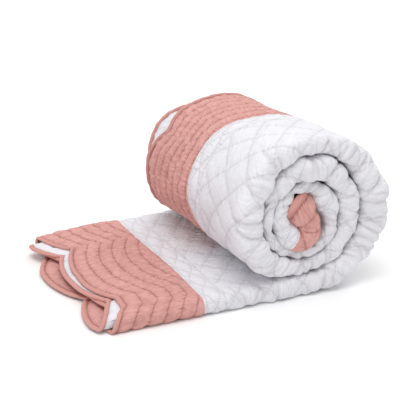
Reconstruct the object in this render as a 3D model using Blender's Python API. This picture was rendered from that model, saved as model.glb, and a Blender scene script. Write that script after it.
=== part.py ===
"""A quilt, doubled, folded in thirds into a six-layer strip, and rolled up from one end.

The cloth is one sheet, drawn on two lengths: s runs along the strip from the loose end,
the foot, to the end in the core, the head; t runs across the unfolded width, from the free
side edge on the outside of the roll, through the folds, to the other free side edge.
Metres, +Z up. X runs along the strip towards the roll, Y away from the open folds.
"""
import math

import bpy
import numpy as np
from mathutils import Matrix, Vector

# Driving sizes, in metres
STRIP = 0.44            # nominal width of the folded strip
SIDE_EDGE = 0.396       # Y of the outer free side edge, at the crowns of its scallops
LAYERS = 6              # sheets on top of one another in the strip
TAIL = 0.427            # the loose length on the surface, up to under the roll's middle
ROLL = 0.1725           # half the roll's height at its open folds
TURN_GAP = 0.0010       # between one turn and the next
FOOT_BORDER = 0.190     # from the foot's outermost edge to the seam
HEAD_BORDER = 0.1124    # from the seam to the head's outermost edge
SIDE_BORDER = 0.200     # from a side's outermost edge to the seam
BINDING = 0.0085        # width of the bound edge
LOBE = 0.255            # chord of one scallop of a side edge
LOBE_BEND = 0.215       # radius of a scallop's arc
CLOTH = 0.80            # thickness of the cloth, as a part of the room its layer has
SEAM_GAP = 0.0005       # between two pieces along a straight seam
EDGE_GAP = 0.0016       # between a binding and the border it follows
CONE = 0.090            # how much smaller the roll is at its far end, as a part of its size
SKEW = 0.087            # how far the roll runs back towards the foot for each metre of Y
INNER_SIDE_OUT = 0.016  # how far the inner side edge stands out past the outer one

# Where the scallops of the two ends meet, in the cloth's order: layer, Y
CUSPS = (
    (0, 0.460), (0, 0.215), (5, 0.066), (5, 0.333), (2, 0.300), (2, 0.050),
    (3, 0.280), (4, 0.313), (4, 0.075), (1, 0.139), (1, 0.385), (1, 0.600),
)
# How far the layers have slipped over one another at the foot: layer, Y, shift along X
FOOT_SLIP = (
    (0, 0.390, -0.035), (0, 0.010, -0.002), (5, 0.010, -0.004), (5, 0.100, -0.006),
    (5, 0.420, -0.004), (2, 0.380, -0.004), (2, 0.060, 0.004), (3, 0.060, 0.004),
    (3, 0.340, 0.002), (4, 0.380, -0.018), (4, 0.030, -0.022), (1, 0.030, -0.028),
    (1, 0.400, -0.040),
)
FOOT_DROOP = 0.30       # how much flatter the foot lies at its far side
FOOT_SPREAD = 0.024     # how much wider the strip lies across the foot's border
SPREAD_AT = 0.120       # distance from the foot where it lies widest
SPREAD_LENGTH = 0.170   # from there to where it is back to its own width
CORNER = 0.050          # radius of the quilt's own corners

# The turns, from the surface up and round: angle swept, and reach of the outer face
# from the roll's middle. One turn's inner face is the next turn's outer face.
TURNS = (
    (0, 0.1725), (45, 0.1725), (90, 0.1745), (135, 0.1730),
    (180, 0.1690), (225, 0.1715), (270, 0.1700), (300, 0.1590), (330, 0.1400), (345, 0.1285),
    (360, 0.1250), (405, 0.1155), (450, 0.1095), (495, 0.1180),
    (540, 0.1290), (585, 0.1170), (630, 0.1060), (675, 0.0985),
    (720, 0.0925), (765, 0.0770), (810, 0.0635), (855, 0.0660),
    (900, 0.0700), (945, 0.0770), (990, 0.0820), (1035, 0.0790), (1080, 0.0700),
)
# Thickness of the strip in its last turn: angle swept, thickness
LAST_TURN = (
    (720, 0.0220), (765, 0.0290), (810, 0.0440), (855, 0.0400),
    (900, 0.0260), (945, 0.0250), (990, 0.0260), (1035, 0.0285), (1050, 0.0290),
)
# Thickness of the strip in the tail: distance from the foot, thickness
TAIL_LIE = ((0.0, 0.036), (0.190, 0.041), (0.300, 0.0450), (TAIL, 0.0465))

# The core, past the last turn: the strip bends about a pivot and runs up to its end
CORE_FROM = 1050        # degrees swept where the bend starts
CORE_BEND = 135         # degrees
CORE_REACH = (0.040, 0.0345, 0.0330, 0.0330)   # outer face from the pivot, evenly over the bend
CORE_RUN = 0.057
CORE_THICK = 0.038      # thickness of the strip at its very end
HEAD_TUCK = 0.045       # how far the near fold is tucked in at the head
HEAD_TUCK_LENGTH = 0.055
HEAD_TUCK_WIDTH = 0.250  # Y past which the head isn't tucked

# The folds, in the cloth's own order from the outer side edge: layer it leaves, layer it
# enters (0 is the outermost), side (-1 near, +1 far), Y where its bend starts, and parts
FOLDS = (
    (0, 5, -1, 0.005, 6),
    (5, 2, +1, 0.414, 5),
    (2, 3, -1, 0.024, 3),
    (3, 4, +1, 0.402, 3),
    (4, 1, -1, 0.013, 4),
)
FOLD_DEPTH = 0.42       # a bend's depth, as a part of the strip's thickness for five layers
FOLD_SQUARE = 0.72      # 1 is a round bend, and less is a squarer one

STEP = 20               # degrees between two sections in the turns
FINE = 2                # degrees between two sections of the centre line


def smooth_through(x, rows):
    """A smooth curve through the rows of a table, at x."""
    knots, values = np.array(rows, float).T
    slopes = np.gradient(values, knots)
    x = np.clip(x, knots[0], knots[-1])
    i = np.clip(np.searchsorted(knots, x, side="right") - 1, 0, len(knots) - 2)
    span = knots[i + 1] - knots[i]
    f = (x - knots[i]) / span
    rise = f * f * (3 - 2 * f)
    lead = f * (1 - f) ** 2 * span * slopes[i]
    trail = f * f * (1 - f) * span * slopes[i + 1]
    return values[i] + (values[i + 1] - values[i]) * rise + lead - trail


def turn_thickness(angle):
    """Thickness of the strip in the turns, at a swept angle."""
    to_next = smooth_through(angle, TURNS) - smooth_through(angle + 360, TURNS) - TURN_GAP
    return np.where(angle < 720, to_next, smooth_through(angle, LAST_TURN))


def sections():
    """The strip's outer and inner face, section by section from the foot to the head.

    Columns: angle swept, outer x, outer z, inner x, inner z, from the roll's middle.
    """
    rows = []
    for s in np.linspace(0, TAIL, 60, endpoint=False):
        thick = smooth_through(s, TAIL_LIE)
        rows.append((s - TAIL, s - TAIL, -ROLL, s - TAIL, thick - ROLL))
    for angle in range(0, CORE_FROM + 1, FINE):
        a = math.radians(angle)
        out = float(smooth_through(angle, TURNS))
        inside = out - float(turn_thickness(angle))
        rows.append((angle, out * math.sin(a), -out * math.cos(a),
                     inside * math.sin(a), -inside * math.cos(a)))
    start = out - inside
    pivot = (out - CORE_REACH[0]) * np.array((math.sin(a), -math.cos(a)))
    reaches = tuple(zip(np.linspace(0, 1, len(CORE_REACH)), CORE_REACH))
    for f in np.linspace(0, 1, 31)[1:]:
        a = math.radians(CORE_FROM + CORE_BEND * f)
        out = float(smooth_through(f, reaches))
        across = np.array((math.sin(a), -math.cos(a)))
        outer, inner = pivot + out * across, pivot + (out - start) * across
        rows.append((CORE_FROM + CORE_BEND * f, *outer, *inner))
    along = np.array((math.cos(a), math.sin(a)))
    for f in np.linspace(0, 1, 21)[1:]:
        thick = start + (CORE_THICK - start) * f * f * (3 - 2 * f)
        outer = pivot + CORE_REACH[-1] * across + CORE_RUN * f * along
        inner = outer - thick * across
        rows.append((CORE_FROM + CORE_BEND + 100 * f, *outer, *inner))
    return np.array(rows)


SECTIONS = sections()
MIDDLE = (SECTIONS[:, 1:3] + SECTIONS[:, 3:5]) / 2
ALONG = np.concatenate(([0], np.cumsum(np.linalg.norm(np.diff(MIDDLE, axis=0), axis=1))))
LENGTH = ALONG[-1]


def at_angle(angle):
    """Distance from the foot at which the strip has swept an angle."""
    return float(np.interp(angle, SECTIONS[:, 0], ALONG))


def thickness(s):
    """Thickness of the strip at a distance from the foot."""
    outer_x, outer_z, inner_x, inner_z = (np.interp(s, ALONG, SECTIONS[:, c]) for c in range(1, 5))
    return np.hypot(outer_x - inner_x, outer_z - inner_z)


def squared(part):
    """A sine or cosine, pushed outwards to make a round bend squarer."""
    return math.copysign(abs(part) ** FOLD_SQUARE, part)


def fold_rows():
    """The folded section: t, the part of Y that stays, the part that goes with the
    strip's thickness, and the height in layers."""
    nominal = 0.045
    rows = []
    t = 0.0
    last_y = SIDE_EDGE
    for leaves, enters, side, start, parts in FOLDS:
        t += abs(last_y - start)
        half = (enters - leaves) / 2
        depth = FOLD_DEPTH * abs(enters - leaves) / 5
        round_length = math.pi / 2 * nominal * (abs(half) / LAYERS + depth)
        for step in range(parts + 1):
            a = math.pi * step / parts
            height = (leaves + enters) / 2 - half * squared(math.cos(a))
            y = side * depth * squared(math.sin(a))
            rows.append((t + round_length * step / parts, start, y, height))
        t += round_length
        last_y = start
    t += SIDE_EDGE + INNER_SIDE_OUT - last_y
    rows.append((t, SIDE_EDGE + INNER_SIDE_OUT, 0.0, 1.0))
    rows.insert(0, (0.0, SIDE_EDGE, 0.0, 0.0))
    return np.array(rows)


FOLDED = fold_rows()
WIDTH = FOLDED[-1, 0]


def cloth_place(layer, y):
    """t of a point on a flat layer."""
    at = FOLDED[FOLDED[:, 3] == layer]
    (first, y_first), (last, y_last) = at[[0, -1], :2]
    return first + (y - y_first) / (y_last - y_first) * (last - first)


SLIP = np.array([(cloth_place(layer, y), shift) for layer, y, shift in FOOT_SLIP])
CUSP_PLACES = np.array([cloth_place(layer, y) for layer, y in CUSPS])


def ease(f):
    """0 to 1, level at both ends."""
    f = np.clip(f, 0, 1)
    return f * f * (3 - 2 * f)


def across_strip(s, t):
    """Y of the cloth at s, t."""
    stays, goes = (np.interp(t, FOLDED[:, 0], FOLDED[:, c]) for c in (1, 2))
    y = stays + goes * thickness(s)
    spread = ease(s / SPREAD_AT) * (1 - ease((s - SPREAD_AT) / SPREAD_LENGTH))
    tucked = np.clip(1 - (LENGTH - s) / HEAD_TUCK_LENGTH, 0, 1) ** 1.5
    tucked = tucked * (1 - ease(y / HEAD_TUCK_WIDTH))
    return y + FOOT_SPREAD * spread * (y / STRIP) ** 2 + HEAD_TUCK * tucked


def height_scale(s, y):
    """What is left of a height, for the roll's taper and the foot's droop."""
    loose = 1 - ease(s / FOOT_BORDER)
    return (1 - CONE * y / STRIP) * (1 - FOOT_DROOP * loose * y / STRIP)


def centre(s, t):
    """The middle of the cloth at s, t: a point for each pair."""
    outer_x, outer_z, inner_x, inner_z = (np.interp(s, ALONG, SECTIONS[:, c]) for c in range(1, 5))
    inward = (np.interp(t, FOLDED[:, 0], FOLDED[:, 3]) + 0.5) / LAYERS
    x = outer_x + (inner_x - outer_x) * inward
    z = outer_z + (inner_z - outer_z) * inward
    y = across_strip(s, t)
    rolled = ease((s - FOOT_BORDER) / (TAIL - FOOT_BORDER))
    slip = np.interp(t, *SLIP.T) * (1 - ease(s / FOOT_BORDER))
    x = x * (1 - CONE * y / STRIP * rolled) - SKEW * y * rolled + slip
    return np.stack((x, y, (z + ROLL) * height_scale(s, y)), axis=-1)


def half_cloth(s, t):
    """Half the cloth's thickness at s, t."""
    return thickness(s) * CLOTH / LAYERS / 2 * height_scale(s, across_strip(s, t))


def normals(s, t):
    """The unit normal towards the quilted face, by small steps along s and t."""
    step = 0.0004
    along = centre(s + step, t) - centre(s - step, t)
    across = centre(s, t + step) - centre(s, t - step)
    normal = np.cross(along, across)
    return normal / np.linalg.norm(normal, axis=-1, keepdims=True)


def scallop(from_crown):
    """How far a scallop lies back from its crown, for a distance along the edge."""
    return LOBE_BEND - np.sqrt(LOBE_BEND ** 2 - np.minimum(from_crown ** 2, LOBE ** 2 / 4))


def end_edge(t):
    """How far an end's edge lies in from its outermost line, for t."""
    i = np.clip(np.searchsorted(CUSP_PLACES, t, side="right") - 1, 0, len(CUSP_PLACES) - 2)
    into_corner = np.clip(CORNER - np.minimum(t, WIDTH - t), 0, CORNER)
    rounded = CORNER - np.sqrt(CORNER ** 2 - into_corner ** 2)
    return np.maximum(scallop(t - (CUSP_PLACES[i] + CUSP_PLACES[i + 1]) / 2), rounded)


def material(name, colour, roughness):
    """A plain cloth material."""
    made = bpy.data.materials.new(name)
    made.use_nodes = True
    shader = made.node_tree.nodes["Principled BSDF"]
    shader.inputs["Base Color"].default_value = (*colour, 1.0)
    shader.inputs["Roughness"].default_value = roughness
    shader.inputs["Metallic"].default_value = 0.0
    return made


def sheet(name, surface, s, t, low=-1.0, high=1.0):
    """A closed sheet on a grid of s, t, between two parts of the cloth's half thickness."""
    middle = centre(s, t)
    half = normals(s, t) * half_cloth(s, t)[..., None]
    rows, columns = s.shape
    points = np.concatenate(((middle + half * high).reshape(-1, 3),
                             (middle + half * low).reshape(-1, 3)))
    under = rows * columns
    faces = []
    for i in range(rows - 1):
        for j in range(columns - 1):
            a = i * columns + j
            b = a + columns
            faces.append((a, b, b + 1, a + 1))
            faces.append((a + under, a + 1 + under, b + 1 + under, b + under))
    rim = list(range(columns))
    rim += [i * columns + columns - 1 for i in range(1, rows)]
    rim += [(rows - 1) * columns + j for j in range(columns - 2, -1, -1)]
    rim += [i * columns for i in range(rows - 2, 0, -1)]
    for a, b in zip(rim, rim[1:] + rim[:1]):
        faces.append((a, b, b + under, a + under))
    mesh = bpy.data.meshes.new(name)
    mesh.from_pydata(points.tolist(), [], faces)
    mesh.materials.append(surface)
    mesh.shade_smooth()
    mesh.set_sharp_from_angle(angle=math.radians(50))
    made = bpy.data.objects.new(name, mesh)
    bpy.context.scene.collection.objects.link(made)
    return made


def grid(starts, ends, t, parts):
    """Rows evenly spaced in s between two edges, for a row of t."""
    f = np.linspace(0, 1, parts + 1)[:, None]
    s = starts + (ends - starts) * f
    return s, np.broadcast_to(t, s.shape)


def edge_columns():
    """t across the whole width, at every fold section and along every scallop."""
    lobes = np.interp(np.arange(0, len(CUSPS) - 1, 0.25), range(len(CUSPS)), CUSP_PLACES)
    lobes = lobes[(lobes > 0) & (lobes < WIDTH)]
    return np.unique(np.round(np.concatenate((lobes, FOLDED[:, 0])), 4))


def strip_rows(first, last):
    """s from one seam to another: along the tail, then at equal angles in the turns."""
    tail = np.linspace(FOOT_BORDER, TAIL, 7)
    turned = [at_angle(angle) for angle in range(STEP, CORE_FROM, STEP)]
    rows = np.array([s for s in (*tail, *turned) if first + 0.004 < s < last - 0.004])
    return np.concatenate(([first], rows, [last]))


def side_edge(s):
    """How far a side edge lies in from its outermost line."""
    return scallop(s % LOBE - LOBE / 2)


def build():
    """All pieces, from the two ends' bound edges to the middle."""
    white = material("white_cotton", (0.80, 0.80, 0.82), 0.9)
    backing = material("white_backing", (0.78, 0.78, 0.80), 0.9)
    coral = material("coral_cotton", (0.62, 0.30, 0.26), 0.9)
    bound = material("coral_binding", (0.60, 0.28, 0.24), 0.85)
    half_gap = SEAM_GAP / 2

    columns = edge_columns()
    foot_out = end_edge(columns)
    head_out = LENGTH - end_edge(columns)
    foot_seam = np.full_like(columns, FOOT_BORDER - half_gap)
    head_seam = np.full_like(columns, LENGTH - HEAD_BORDER + half_gap)

    inner = BINDING + EDGE_GAP
    sheet("foot_binding", bound, *grid(foot_out, foot_out + BINDING, columns, 1))
    sheet("foot_border", coral, *grid(foot_out + inner, foot_seam, columns, 3), 0.0, 1.0)
    sheet("foot_backing", backing, *grid(foot_out + inner, foot_seam, columns, 3), -1.0, -0.12)
    sheet("head_border", coral, *grid(head_seam, head_out - inner, columns, 10))
    sheet("head_binding", bound, *grid(head_out - BINDING, head_out, columns, 2))

    sections_between = (FOLDED[:, 0] > SIDE_BORDER) & (FOLDED[:, 0] < WIDTH - SIDE_BORDER)
    across = np.concatenate(([SIDE_BORDER + half_gap], FOLDED[sections_between, 0],
                             [WIDTH - SIDE_BORDER - half_gap]))
    lengths = (("field_tail", FOOT_BORDER, TAIL), ("field_roll", TAIL, LENGTH - HEAD_BORDER))
    for name, first, last in lengths:
        along = strip_rows(first + half_gap, last - half_gap)
        s, t = np.meshgrid(along, across, indexing="ij")
        sheet(name, white, s, t)

    along = strip_rows(FOOT_BORDER + half_gap, LENGTH - HEAD_BORDER - half_gap)
    edge = side_edge(along)
    outer_seam = np.full_like(edge, SIDE_BORDER - half_gap)
    bands = (
        ("outer_side_binding", bound, edge, edge + BINDING, -1.0, 1.0),
        ("outer_side_border", coral, edge + inner, outer_seam, -1.0, 1.0),
        ("inner_side_binding", bound, edge, edge + BINDING, -1.0, 1.0),
        ("inner_side_border", coral, edge + inner, outer_seam, 0.0, 1.0),
        ("inner_side_backing", backing, edge + inner, outer_seam, -1.0, -0.12),
    )
    for name, surface, start, end, low, high in bands:
        t, s = grid(start, end, along, 1)
        if name.startswith("inner"):
            t = WIDTH - t[::-1]
        sheet(name, surface, s.T, t.T, low, high)


def stand_on_origin():
    """Move every piece so that the middle of the footprint is the origin."""
    corners = [corner for piece in bpy.data.objects for corner in piece.bound_box]
    low = np.min(corners, axis=0)
    high = np.max(corners, axis=0)
    middle = Vector((*(low[:2] + high[:2]) / 2, low[2]))
    for piece in bpy.data.objects:
        piece.data.transform(Matrix.Translation(-middle))


for old in list(bpy.data.objects):
    bpy.data.objects.remove(old)
build()
stand_on_origin()
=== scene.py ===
# %% [markdown]
# # A quilt, folded and rolled up
# The object is a bed quilt: a white, diamond-quilted middle, coral borders, and a scalloped,
# bound edge. It is folded lengthwise into a strip of six layers and rolled up from one end,
# with a loose tail left in front. The CAD model holds each sheet plain and smooth. A cloth
# simulation could roll a flat quilt up, but its folds would not be those of the solids. So
# each sheet is worked out again from the same folds, and the sewing is pressed into it.
# First the imported model is loaded, and its box is kept.

# %% Load the frame
import math

import bpy
import numpy as np
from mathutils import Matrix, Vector


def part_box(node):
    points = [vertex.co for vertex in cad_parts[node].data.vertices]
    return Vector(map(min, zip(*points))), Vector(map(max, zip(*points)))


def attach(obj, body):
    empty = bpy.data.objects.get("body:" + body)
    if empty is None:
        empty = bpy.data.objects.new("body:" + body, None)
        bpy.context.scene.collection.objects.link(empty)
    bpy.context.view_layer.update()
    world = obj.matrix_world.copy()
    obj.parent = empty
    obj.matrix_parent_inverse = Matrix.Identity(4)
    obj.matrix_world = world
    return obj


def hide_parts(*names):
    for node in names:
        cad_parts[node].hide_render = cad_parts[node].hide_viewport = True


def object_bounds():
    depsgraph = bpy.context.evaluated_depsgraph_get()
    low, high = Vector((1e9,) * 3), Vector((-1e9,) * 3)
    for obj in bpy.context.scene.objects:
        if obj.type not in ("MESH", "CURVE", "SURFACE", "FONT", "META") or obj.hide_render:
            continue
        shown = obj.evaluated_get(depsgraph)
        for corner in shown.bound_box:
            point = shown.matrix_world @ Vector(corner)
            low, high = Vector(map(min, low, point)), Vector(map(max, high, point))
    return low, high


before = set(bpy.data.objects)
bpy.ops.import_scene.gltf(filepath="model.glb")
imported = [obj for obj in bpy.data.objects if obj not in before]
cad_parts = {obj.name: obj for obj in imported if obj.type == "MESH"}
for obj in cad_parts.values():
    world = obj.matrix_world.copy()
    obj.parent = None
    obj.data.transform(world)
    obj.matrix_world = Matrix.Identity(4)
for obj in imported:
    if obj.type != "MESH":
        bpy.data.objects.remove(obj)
cad_low, cad_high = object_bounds()
print("CAD box", [round(v, 3) for v in (*cad_low, *cad_high)])

# %% [markdown]
# ## The cloth's own lengths
# A quilt is sewn flat and folded afterwards. The seams and rows could be modelled on the
# folded shape, one by one. Here every point has two lengths on the cloth instead. s runs
# along the folded strip, from the loose end (the foot) to the end in the core (the head). t
# runs across the unfolded width, from one free side edge, through the folds, to the other.
# A pattern drawn in s and t then turns and folds with the cloth by itself.
# Sizes are those of the solids, apart from the few whose comment says "own".

# %% Sizes of the sewn quilt
FOOT_BORDER = 0.190     # from the foot's outermost edge to the seam
HEAD_BORDER = 0.1304    # from the seam to the head's outermost edge, own
SIDE_BORDER = 0.200     # from a side's outermost edge to the seam
BINDING = 0.0100        # width of the bound edge, own
LAYERS = 6              # sheets on top of one another in the strip
STRIP = 0.44            # nominal width of the folded strip
TAIL = 0.427            # the loose length on the surface, up to under the roll's middle
print("borders of foot, head and sides", FOOT_BORDER, HEAD_BORDER, SIDE_BORDER)

# %% [markdown]
# ## The wound line
# Seen from its end, the roll is one strip: flat in the tail, then nearly three turns, then a
# bend round the core. A true spiral has one formula, but a soft roll sags between its turns
# and is flattened underneath. So the reach of its outer face is a short table over the angle
# swept, with a smooth curve through it. One turn's inner face is the next turn's outer face
# and a small gap, so two turns never run into each other.

# %% Tables of the turns
ROLL = 0.1725           # half the roll's height at its open folds
TURN_GAP = 0.0010       # between one turn and the next
# angle swept, reach of the outer face from the roll's middle
TURNS = (
    (0, 0.1725), (45, 0.1725), (90, 0.1745), (135, 0.1730),
    (180, 0.1690), (225, 0.1715), (270, 0.1700), (300, 0.1590), (330, 0.1400), (345, 0.1285),
    (360, 0.1250), (405, 0.1155), (450, 0.1095), (495, 0.1180),
    (540, 0.1290), (585, 0.1170), (630, 0.1060), (675, 0.0985),
    (720, 0.0925), (765, 0.0770), (810, 0.0635), (855, 0.0660),
    (900, 0.0700), (945, 0.0770), (990, 0.0820), (1035, 0.0790), (1080, 0.0700),
)
# angle swept, thickness of the strip in its last turn
LAST_TURN = (
    (720, 0.0220), (765, 0.0290), (810, 0.0440), (855, 0.0400),
    (900, 0.0260), (945, 0.0250), (990, 0.0260), (1035, 0.0285), (1050, 0.0290),
)
# distance from the foot, thickness of the strip in the tail
TAIL_LIE = ((0.0, 0.036), (0.190, 0.041), (0.300, 0.0450), (TAIL, 0.0465))
# the core: the strip bends about a pivot and runs straight up to its end
CORE_FROM = 1050        # degrees swept where the bend starts
CORE_BEND = 135         # degrees
CORE_REACH = (0.040, 0.0345, 0.0330, 0.0330)   # outer face from the pivot, evenly over the bend
CORE_RUN = 0.075        # length of the straight run, own
CORE_RUN_COUNTS = 100   # degrees that the straight run is counted as
CORE_THICK = 0.038      # thickness of the strip at its very end
print("the roll is", round(2 * ROLL, 3), "m high at its open folds")


# %% Curves through a table
def smooth_through(x, rows):
    """A smooth curve through the rows of a table, at x."""
    knots, values = np.array(rows, float).T
    slopes = np.gradient(values, knots)
    x = np.clip(x, knots[0], knots[-1])
    i = np.clip(np.searchsorted(knots, x, side="right") - 1, 0, len(knots) - 2)
    span = knots[i + 1] - knots[i]
    f = (x - knots[i]) / span
    rise = f * f * (3 - 2 * f)
    lead = f * (1 - f) ** 2 * span * slopes[i]
    trail = f * f * (1 - f) * span * slopes[i + 1]
    return values[i] + (values[i + 1] - values[i]) * rise + lead - trail


def ease(f):
    """0 to 1, level at both ends."""
    f = np.clip(f, 0, 1)
    return f * f * (3 - 2 * f)


def turn_thickness(angle):
    """Thickness of the strip in the turns, at a swept angle."""
    to_next = smooth_through(angle, TURNS) - smooth_through(angle + 360, TURNS) - TURN_GAP
    return np.where(angle < LAST_TURN[0][0], to_next, smooth_through(angle, LAST_TURN))


print("thickness of the strip a quarter of the way round", round(float(turn_thickness(90)), 4))


# %% The strip's section, from foot to head
TAIL_STEPS = 120
BEND_STEPS = 60
RUN_STEPS = 30


def sections():
    """Angle, outer x, outer z, inner x, inner z of the strip, from the roll's middle."""
    rows = []
    for s in np.linspace(0, TAIL, TAIL_STEPS, endpoint=False):
        rows.append((s - TAIL, s - TAIL, -ROLL, s - TAIL, smooth_through(s, TAIL_LIE) - ROLL))
    for angle in range(0, CORE_FROM + 1):
        a = math.radians(angle)
        out = float(smooth_through(angle, TURNS))
        inside = out - float(turn_thickness(angle))
        rows.append((angle, out * math.sin(a), -out * math.cos(a),
                     inside * math.sin(a), -inside * math.cos(a)))
    start = out - inside
    pivot = (out - CORE_REACH[0]) * np.array((math.sin(a), -math.cos(a)))
    reaches = tuple(zip(np.linspace(0, 1, len(CORE_REACH)), CORE_REACH))
    for f in np.linspace(0, 1, BEND_STEPS + 1)[1:]:
        a = math.radians(CORE_FROM + CORE_BEND * f)
        out = float(smooth_through(f, reaches))
        across = np.array((math.sin(a), -math.cos(a)))
        outer, inner = pivot + out * across, pivot + (out - start) * across
        rows.append((CORE_FROM + CORE_BEND * f, *outer, *inner))
    along = np.array((math.cos(a), math.sin(a)))
    for f in np.linspace(0, 1, RUN_STEPS + 1)[1:]:
        outer = pivot + CORE_REACH[-1] * across + CORE_RUN * f * along
        inner = outer - (start + (CORE_THICK - start) * ease(f)) * across
        rows.append((CORE_FROM + CORE_BEND + CORE_RUN_COUNTS * f, *outer, *inner))
    return np.array(rows)


SECTIONS = sections()
middle_line = (SECTIONS[:, 1:3] + SECTIONS[:, 3:5]) / 2
ALONG = np.concatenate(([0], np.cumsum(np.linalg.norm(np.diff(middle_line, axis=0), axis=1))))
LENGTH = float(ALONG[-1])
print("length of the strip", round(LENGTH, 3))


# %% Reading the section
def at_angle(angle):
    """Distance from the foot at which the strip has swept an angle."""
    return float(np.interp(angle, SECTIONS[:, 0], ALONG))


def strip_faces(s):
    """Outer x, outer z, inner x, inner z at a distance from the foot."""
    return [np.interp(s, ALONG, SECTIONS[:, c]) for c in range(1, 5)]


def thickness(s):
    """Thickness of the strip at a distance from the foot."""
    outer_x, outer_z, inner_x, inner_z = strip_faces(s)
    return np.hypot(outer_x - inner_x, outer_z - inner_z)


print("the core starts", round(at_angle(CORE_FROM), 3), "m from the foot")

# %% [markdown]
# ## The folded section
# Seen along the strip, the quilt is doubled and then folded in thirds. Each fold could be a
# curve of its own. A table is shorter: flat stretches and half-round bends, in the order in
# which the cloth runs through them. A bend's depth goes with the strip's thickness, so the
# same table serves the loose tail and the tight core.

# %% The folds across the strip
SIDE_EDGE = 0.396       # Y of the outer free side edge, at the crowns of its scallops
INNER_SIDE_OUT = 0.022  # how far the inner side edge stands out past the outer one, own
# layer left, layer entered (0 is the outermost), side, Y where the bend starts
FOLDS = (
    (0, 5, -1, 0.005), (5, 2, +1, 0.414), (2, 3, -1, 0.024), (3, 4, +1, 0.402),
    (4, 1, -1, 0.013),
)
FOLD_DEPTH = 0.42       # a bend's depth, as a part of the strip's thickness for five layers
FOLD_SQUARE = 0.72      # 1 is a round bend, and less is a squarer one
FOLD_NOMINAL = 0.045    # thickness of the strip that a bend's length is worked out for
BEND_PARTS = 24


def squared(part):
    """A sine or cosine, pushed outwards to make a round bend squarer."""
    return math.copysign(abs(part) ** FOLD_SQUARE, part)


def fold_rows():
    """t, the part of Y that stays, the part that goes with the thickness, and the height."""
    rows = [(0.0, SIDE_EDGE, 0.0, 0.0)]
    t = 0.0
    last_y = SIDE_EDGE
    for leaves, enters, side, start in FOLDS:
        t += abs(last_y - start)
        half = (enters - leaves) / 2
        depth = FOLD_DEPTH * abs(enters - leaves) / 5
        round_length = math.pi / 2 * FOLD_NOMINAL * (abs(half) / LAYERS + depth)
        for step in range(BEND_PARTS + 1):
            a = math.pi * step / BEND_PARTS
            height = (leaves + enters) / 2 - half * squared(math.cos(a))
            y = side * depth * squared(math.sin(a))
            rows.append((t + round_length * step / BEND_PARTS, start, y, height))
        t += round_length
        last_y = start
    t += SIDE_EDGE + INNER_SIDE_OUT - last_y
    rows.append((t, SIDE_EDGE + INNER_SIDE_OUT, 0.0, 1.0))
    return np.array(rows)


FOLDED = fold_rows()
WIDTH = float(FOLDED[-1, 0])
NEAR_FOLD_END = FOLDED[1 + BEND_PARTS, 0]
NEAR_FOLD = (FOLDED[1, 0] + NEAR_FOLD_END) / 2
FAR_FOLD_END = FOLDED[2 * (1 + BEND_PARTS), 0]
print("unfolded width", round(WIDTH, 3))


# %% Places on the flat layers
def cloth_place(layer, y):
    """t of a point on a flat layer."""
    at = FOLDED[FOLDED[:, 3] == layer]
    (first, y_first), (last, y_last) = at[[0, -1], :2]
    return first + (y - y_first) / (y_last - y_first) * (last - first)


print("t above and under a point of the strip", round(cloth_place(5, 0.2), 3),
      round(cloth_place(0, 0.2), 3))

# %% [markdown]
# ## Where a point of the cloth lies
# Now s gives the place along the wound line and t the layer and the place across it. The roll is not a
# straight one: it is thinner at its far end, runs back a little towards the foot, and its far folds have
# drawn in. The loose end is where the layers show most. There they slipped over one another, so each has
# its own shift. These few large moves are listed one by one, because they make the silhouette.

# %% Lie of the roll and of the loose end
CONE = 0.090            # how much smaller the roll is at its far end, as a part of its size
SKEW = 0.087            # how far the roll runs back towards the foot for each metre of Y
CLOTH = 0.80            # thickness of the cloth, as a part of the room its layer has
FOOT_DROOP = 0.08       # how much flatter the foot lies at its far side, own
FOOT_SPREAD = 0.024     # how much wider the strip lies across the foot's border
SPREAD_START = 0.4      # how far that has come at the very edge, own
SPREAD_AT = 0.120       # length over which it grows, and from which it fades
SPREAD_LENGTH = 0.170   # length over which it fades
HEAD_TUCK = 0.045       # how far the near fold is tucked in at the head
HEAD_TUCK_LENGTH = 0.036   # own
HEAD_TUCK_WIDTH = 0.250    # Y past which the head isn't tucked
FAR_PULL = 0.026        # how far the far folds are drawn in on the roll, own
FAR_PULL_LENGTH = 0.15  # length over which that starts
FAR_PULL_FROM = 0.22    # Y where it starts, and its growth from there
FAR_PULL_WIDTH = 0.18
# how far the layers slipped at the foot, own: layer, Y, shift along X
FOOT_SLIP = (
    (0, 0.390, 0.004), (0, 0.120, -0.010), (0, 0.010, -0.015),
    (5, 0.010, -0.018), (5, 0.090, -0.010), (5, 0.200, 0.004), (5, 0.310, 0.002), (5, 0.420, -0.004),
    (2, 0.380, -0.004), (2, 0.060, 0.004), (3, 0.060, 0.004), (3, 0.340, -0.008),
    (4, 0.380, -0.034), (4, 0.290, -0.022), (4, 0.190, -0.014), (4, 0.030, -0.018),
    (1, 0.030, -0.038), (1, 0.090, -0.040), (1, 0.300, -0.043), (1, 0.400, -0.022),
)
SLIP = np.array([(cloth_place(layer, y), shift) for layer, y, shift in FOOT_SLIP])
print("largest slip at the foot", float(np.abs(SLIP[:, 1]).max()))


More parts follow.
